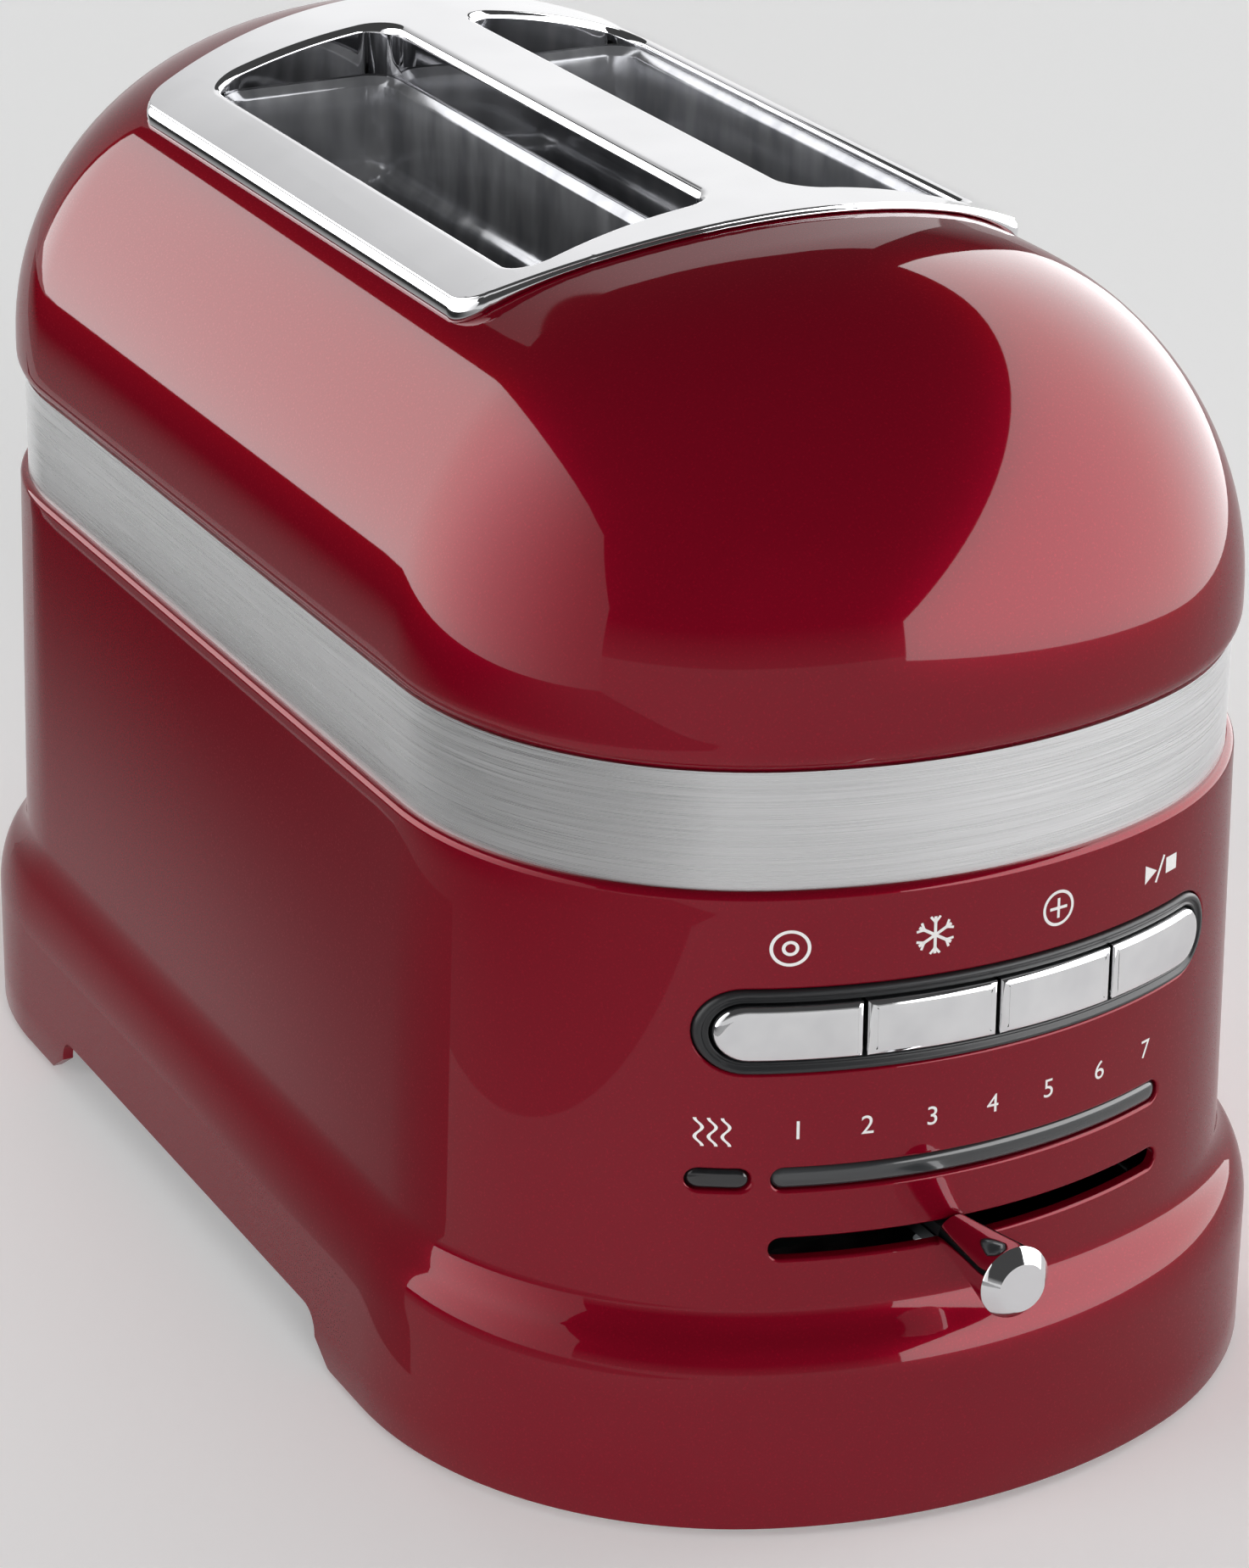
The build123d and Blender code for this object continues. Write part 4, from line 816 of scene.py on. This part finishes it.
# Frozen: a snowflake.
sign = bmesh.new()
for spoke in range(3):
    turn = pi / 6 + spoke * pi / 3
    bar(sign, FLAKE, STROKE, turn)
    for end in (1, -1):
        for lean in (turn + TWIG_LEAN, turn - TWIG_LEAN):
            x = end * (TWIG_ROOT * cos(turn) + TWIG_SHIFT * cos(lean))
            y = end * (TWIG_ROOT * sin(turn) + TWIG_SHIFT * sin(lean))
            bar(sign, TWIG, TWIG_STROKE, lean, x, y)
print_on(sign, SIGN_X[1], SIGN_HEIGHT)

# Longer: a plus in a ring.
sign = bmesh.new()
ring_sign(sign, SIGN_RADIUS, STROKE)
bar(sign, CROSS, STROKE, 0)
bar(sign, CROSS, STROKE, pi / 2)
print_on(sign, SIGN_X[2], SIGN_HEIGHT)

# Start and stop: a triangle, a slash and a square.
sign = bmesh.new()
place = Matrix.Translation((START_X, 0, 0)) @ Matrix.Rotation(-pi / 2, 4, "Z")
bmesh.ops.create_circle(sign, cap_ends=True, radius=START_RADIUS, segments=3, matrix=place)
bar(sign, SLASH, STROKE, radians(SLASH_TURN))
place = Matrix.Translation((STOP_X, 0, 0))
bmesh.ops.create_grid(sign, x_segments=2, y_segments=2, size=STOP_HALF, matrix=place)
print_on(sign, SIGN_X[3], SIGN_HEIGHT)

# Keep warm: three waves of heat.
sign = bmesh.new()
for wave in (-HEAT_GAP, 0, HEAT_GAP):
    place = Matrix.Translation((wave, 0, 0)) @ Matrix.Diagonal((*HEAT_HALF, 1, 1))
    made = bmesh.ops.create_grid(sign, x_segments=1, y_segments=24, size=1.0, matrix=place)
    for vert in made["verts"]:
        vert.co.x += HEAT_SWING * sin(vert.co.y * pi / HEAT_WAVE)
print_on(sign, HEAT_X, NUMBER_HEIGHT)
piece("printed_marks", marks, ink, "body", "surround_plastic", outward=False)

# Hidden and partly hidden pieces keep their CAD shapes: plated steel sheet, mica and ribbon,
# nylon gears, boards, plastic trim and rubber feet, each in the finish that it is made in.

# Zinc plate gives the eye a cool grey with cloudy highlights.
plated = finish("zinc_plated_sheet", "#8b8f92", "#a3a7a9", 6.0, (0.3, 0.45), 0.003, Metallic=1.0)
# Drawn wire gives the eye thin, bright lines.
wire_steel = finish("bright_guide_wire", "#9c9da0", "#b4b5b7", 1.0, (0.18, 0.3), 0.002, Metallic=1.0)
# Ground rod gives the eye one sharp highlight along its length.
rod_steel = finish("ground_rod_steel", "#a7a8aa", "#bfc0c2", 0.3, (0.15, 0.25), 0.0, (1, 1, 20), Metallic=1.0)
# Pressed mica gives the eye a mottled, flaky brown.
mica = finish("mica_sheet", "#7d7258", "#978b6e", 4.0, (0.35, 0.6), 0.02)
# Oxidised nichrome gives the eye a dull, dark brown metal.
ribbon = finish("nichrome_ribbon", "#4c4743", "#6b645e", 2.0, (0.35, 0.5), 0.002, Metallic=1.0)
# Nylon gives the eye an even, waxy white.
nylon = finish("white_nylon", "#cfccc2", "#dcd9cf", 0.8, (0.4, 0.5), 0.003)
# A drawn can gives the eye a smoother grey than plated sheet.
motor_can = finish("zinc_motor_can", "#84878a", "#9da0a2", 3.0, (0.25, 0.4), 0.002, Metallic=1.0)
# Black laminate lets nothing show behind the smoked lens.
dark_laminate = finish("black_board_laminate", "#0d0f0e", "#161918", 0.6, (0.4, 0.55), 0.004)
# Green laminate gives the eye a faint weave, drawn coarser than the real one.
laminate = finish("green_board_laminate", "#1d4a30", "#27583a", 0.6, (0.35, 0.5), 0.004)
# Moulded grain gives the eye a dull black.
black_plastic = finish("black_moulded_plastic", "#17181a", "#202123", 0.25, (0.4, 0.55), 0.006)
# Clear acrylic gives the eye pale, bright edges.
clear_guide = finish(
    "clear_light_guide", "#c9d2d6", "#dde5e8", 2.0, (0.1, 0.2), 0.0, Transmission_Weight=0.8
)
# Rubber gives the eye a black without a highlight.
rubber = finish("black_rubber", "#161616", "#222222", 0.4, (0.7, 0.85), 0.02)
KEPT = (
    (plated, "base_plate", "base_screws", "crumb_tray", "spacer_posts", "front_end_frame", "rear_end_frame"),
    (plated, "left_bread_carrier", "right_bread_carrier", "lift_yoke", "rod_brackets", "motor_bracket"),
    (plated, "left_reflector", "right_reflector", "board_screws", "board_standoffs"),
    (mica, "left_outer_heater_card", "left_inner_heater_card"),
    (mica, "right_inner_heater_card", "right_outer_heater_card"),
    (ribbon, "heater_ribbons"),
    (wire_steel, "left_outer_guide", "left_inner_guide", "right_inner_guide", "right_outer_guide"),
    (rod_steel, "guide_rods"),
    (nylon, "lift_rack", "drive_pinion", "lift_gearbox"),
    (motor_can, "lift_motor"),
    (laminate, "switch_board", "power_board"),
    (dark_laminate, "control_board"),
    (black_plastic, "button_switches", "slide_control", "slider_stem", "power_relay"),
    (black_plastic, "transformer", "cord_gland", "tray_handle"),
    (clear_guide, "indicator_lights"),
    (rubber, "rubber_feet"),
)
for material, *names in KEPT:
    for name in names:
        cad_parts[name].data.materials.clear()
        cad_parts[name].data.materials.append(material)

# Studio: a pale sweep, three soft boxes beside and behind the toaster, a card and a dark flag close
# to it, all five seen only in reflections, wide suns that light only matt surfaces, a dim room,
# and a camera at the photograph's angle. Its sizes are in metres.
SWEEP_HALF = 40.0
# Paper gives the eye an even white that takes a soft shadow and no mirror.
paper = finish(
    "pale_paper",
    "#f1f1f1",
    "#f7f7f7",
    2.0,
    (0.7, 0.8),
    Specular_IOR_Level=0.0,
    Emission_Color=linear("#ffffff"),
    Emission_Strength=0.2,
)
# Each panel's corners, then the bow of its far edge, its glow, the share of it at the first side,
# how far that fade reaches, and for some the glow at the near edge and how far that fade reaches.
PANELS = (
    (
        "left_box",
        ((-0.85, -0.45, 0), (-0.85, 3.4, 0), (-0.85, 3.4, 1.6), (-0.85, -0.45, 0.4)),
        (0.4, 4.4, 0.2, 0.3),
    ),
    (
        "right_box",
        ((0.9, -6, 0), (0.9, 0.9, 0), (0.9, 0.9, 1.2), (0.9, -6, 1.2)),
        (1, 4.6, 1, 0.1),
    ),
    (
        "back_box",
        ((-0.4, 1.7, 0), (1.3, 1.7, 0), (1.3, 1.7, 1.34), (-0.4, 1.7, 1.34)),
        (1, 1.1, 0.5, 0.6),
    ),
    (
        "side_card",
        ((-0.118, -0.09, 0.101), (-0.118, -0.09, 0), (-0.118, 0.3, 0), (-0.118, 0.3, 0.101)),
        (1, 0.72, 0.1, 1, 0.24, 0.45),
    ),
    (
        "floor_flag",
        ((-0.24, -0.45, 0.002), (-0.24, 1.6, 0.002), (-0.85, 1.6, 0.002), (-0.85, -0.45, 0.002)),
        (1, 0.03, 13, 0.3, 0.4, 0.35),
    ),
)
# Each sun's name, the way to it, its width in degrees and its strength.
FILLS = (
    ("top_fill", (0, 0, 1), 74, 0.42),
    ("front_fill", (-0.5, -1.8, 0.6), 36, 1.38),
    ("back_fill", (0.3, 1.8, 0.6), 36, 0.9),
    ("left_fill", (-1.8, 0.2, 0.6), 36, 0.78),
    ("right_fill", (1.8, 0, 0.6), 36, 0.85),
)
ROOM_LOW = "#b0b0b0"
ROOM_HIGH = "#484848"
ROOM_FADE = 0.2
EYE = Vector((-0.4385, -0.8445, 0.4965))
TARGET = Vector((0, 0, 0.09294))
ROLL = radians(0.62)
SENSOR = 36.0
FOCAL_LENGTH = 110.8
SHIFT = (0.025, -0.0282)


def stage_mesh(name, bm, material):
    """Adds a piece of the studio."""
    mesh = bpy.data.meshes.new(name)
    bm.to_mesh(mesh)
    bm.free()
    mesh.materials.append(material)
    thing = bpy.data.objects.new(name, mesh)
    bpy.context.collection.objects.link(thing)
    return thing


def fade_in(tree, value, reach, low, high):
    """Smooth change from low to high as a value goes from 0 to reach."""
    ramp = {"Value": value, "From Max": reach, "To Min": low, "To Max": high}
    return add_node(tree, "ShaderNodeMapRange", ramp, interpolation_type="SMOOTHSTEP").outputs["Result"]


def panel(name, corners, bow, glow, dim, fade, end_glow=0.0, end_fade=0.0):
    """Panel between four corners that glows for reflections only, and fades towards two of its sides."""
    bm = bmesh.new()
    bm.loops.layers.uv.new("UVMap")
    bmesh.ops.create_grid(bm, x_segments=24, y_segments=1, size=0.5, calc_uvs=True)
    for vert in bm.verts:
        across, upward = vert.co.x + 0.5, vert.co.y + 0.5
        low = Vector(corners[0]).lerp(Vector(corners[1]), across)
        high = Vector(corners[3]).lerp(Vector(corners[2]), across)
        high.z = corners[3][2] + (corners[2][2] - corners[3][2]) * across**bow
        vert.co = low.lerp(high, upward)
    material = bpy.data.materials.new(name)
    material.use_nodes = True
    tree = material.node_tree
    tree.nodes.clear()
    place = add_node(tree, "ShaderNodeUVMap").outputs["UV"]
    sides = add_node(tree, "ShaderNodeSeparateXYZ", {"Vector": place}).outputs
    power = fade_in(tree, sides["X"], fade, glow * dim, glow)
    if end_fade:
        power = fade_in(tree, sides["Y"], end_fade, end_glow, power)
    lamp = add_node(tree, "ShaderNodeEmission", {"Strength": power})
    add_node(tree, "ShaderNodeOutputMaterial", {"Surface": lamp.outputs["Emission"]})
    thing = stage_mesh(name, bm, material)
    thing.visible_camera = False
    thing.visible_diffuse = False
    thing.visible_shadow = False


sweep = bmesh.new()
bmesh.ops.create_grid(sweep, x_segments=2, y_segments=2, size=SWEEP_HALF)
stage_mesh("sweep", sweep, paper)
for name, corners, glow in PANELS:
    panel(name, corners, *glow)
for name, origin, width, power in FILLS:
    lamp = bpy.data.lights.new(name, "SUN")
    lamp.angle = radians(width)
    lamp.energy = power
    thing = bpy.data.objects.new(name, lamp)
    thing.matrix_world = Vector(origin).to_track_quat("Z", "Y").to_matrix().to_4x4()
    thing.visible_glossy = False
    bpy.context.collection.objects.link(thing)

world = bpy.data.worlds.new("studio")
bpy.context.scene.world = world
world.use_nodes = True
tree = world.node_tree
way = add_node(tree, "ShaderNodeTexCoord").outputs["Generated"]
rise = add_node(tree, "ShaderNodeSeparateXYZ", {"Vector": way}).outputs["Z"]
share = add_node(tree, "ShaderNodeMapRange", {"Value": rise, "From Max": ROOM_FADE}).outputs["Result"]
tree.links.new(mix(tree, share, ROOM_LOW, ROOM_HIGH), tree.nodes["Background"].inputs["Color"])

ahead = (TARGET - EYE).normalized()
level = ahead.cross(Vector((0, 0, 1))).normalized()
upright = level.cross(ahead)
right = level * cos(ROLL) + upright * sin(ROLL)
up = upright * cos(ROLL) - level * sin(ROLL)
optics = bpy.data.cameras.new("camera")
optics.sensor_fit = "VERTICAL"
optics.sensor_height = SENSOR
optics.lens = FOCAL_LENGTH
optics.shift_x, optics.shift_y = SHIFT
camera = bpy.data.objects.new("camera", optics)
camera.matrix_world = Matrix.Translation(EYE) @ Matrix((right, up, -ahead)).transposed().to_4x4()
bpy.context.collection.objects.link(camera)
bpy.context.scene.camera = camera
bpy.context.scene.view_settings.view_transform = "Standard"
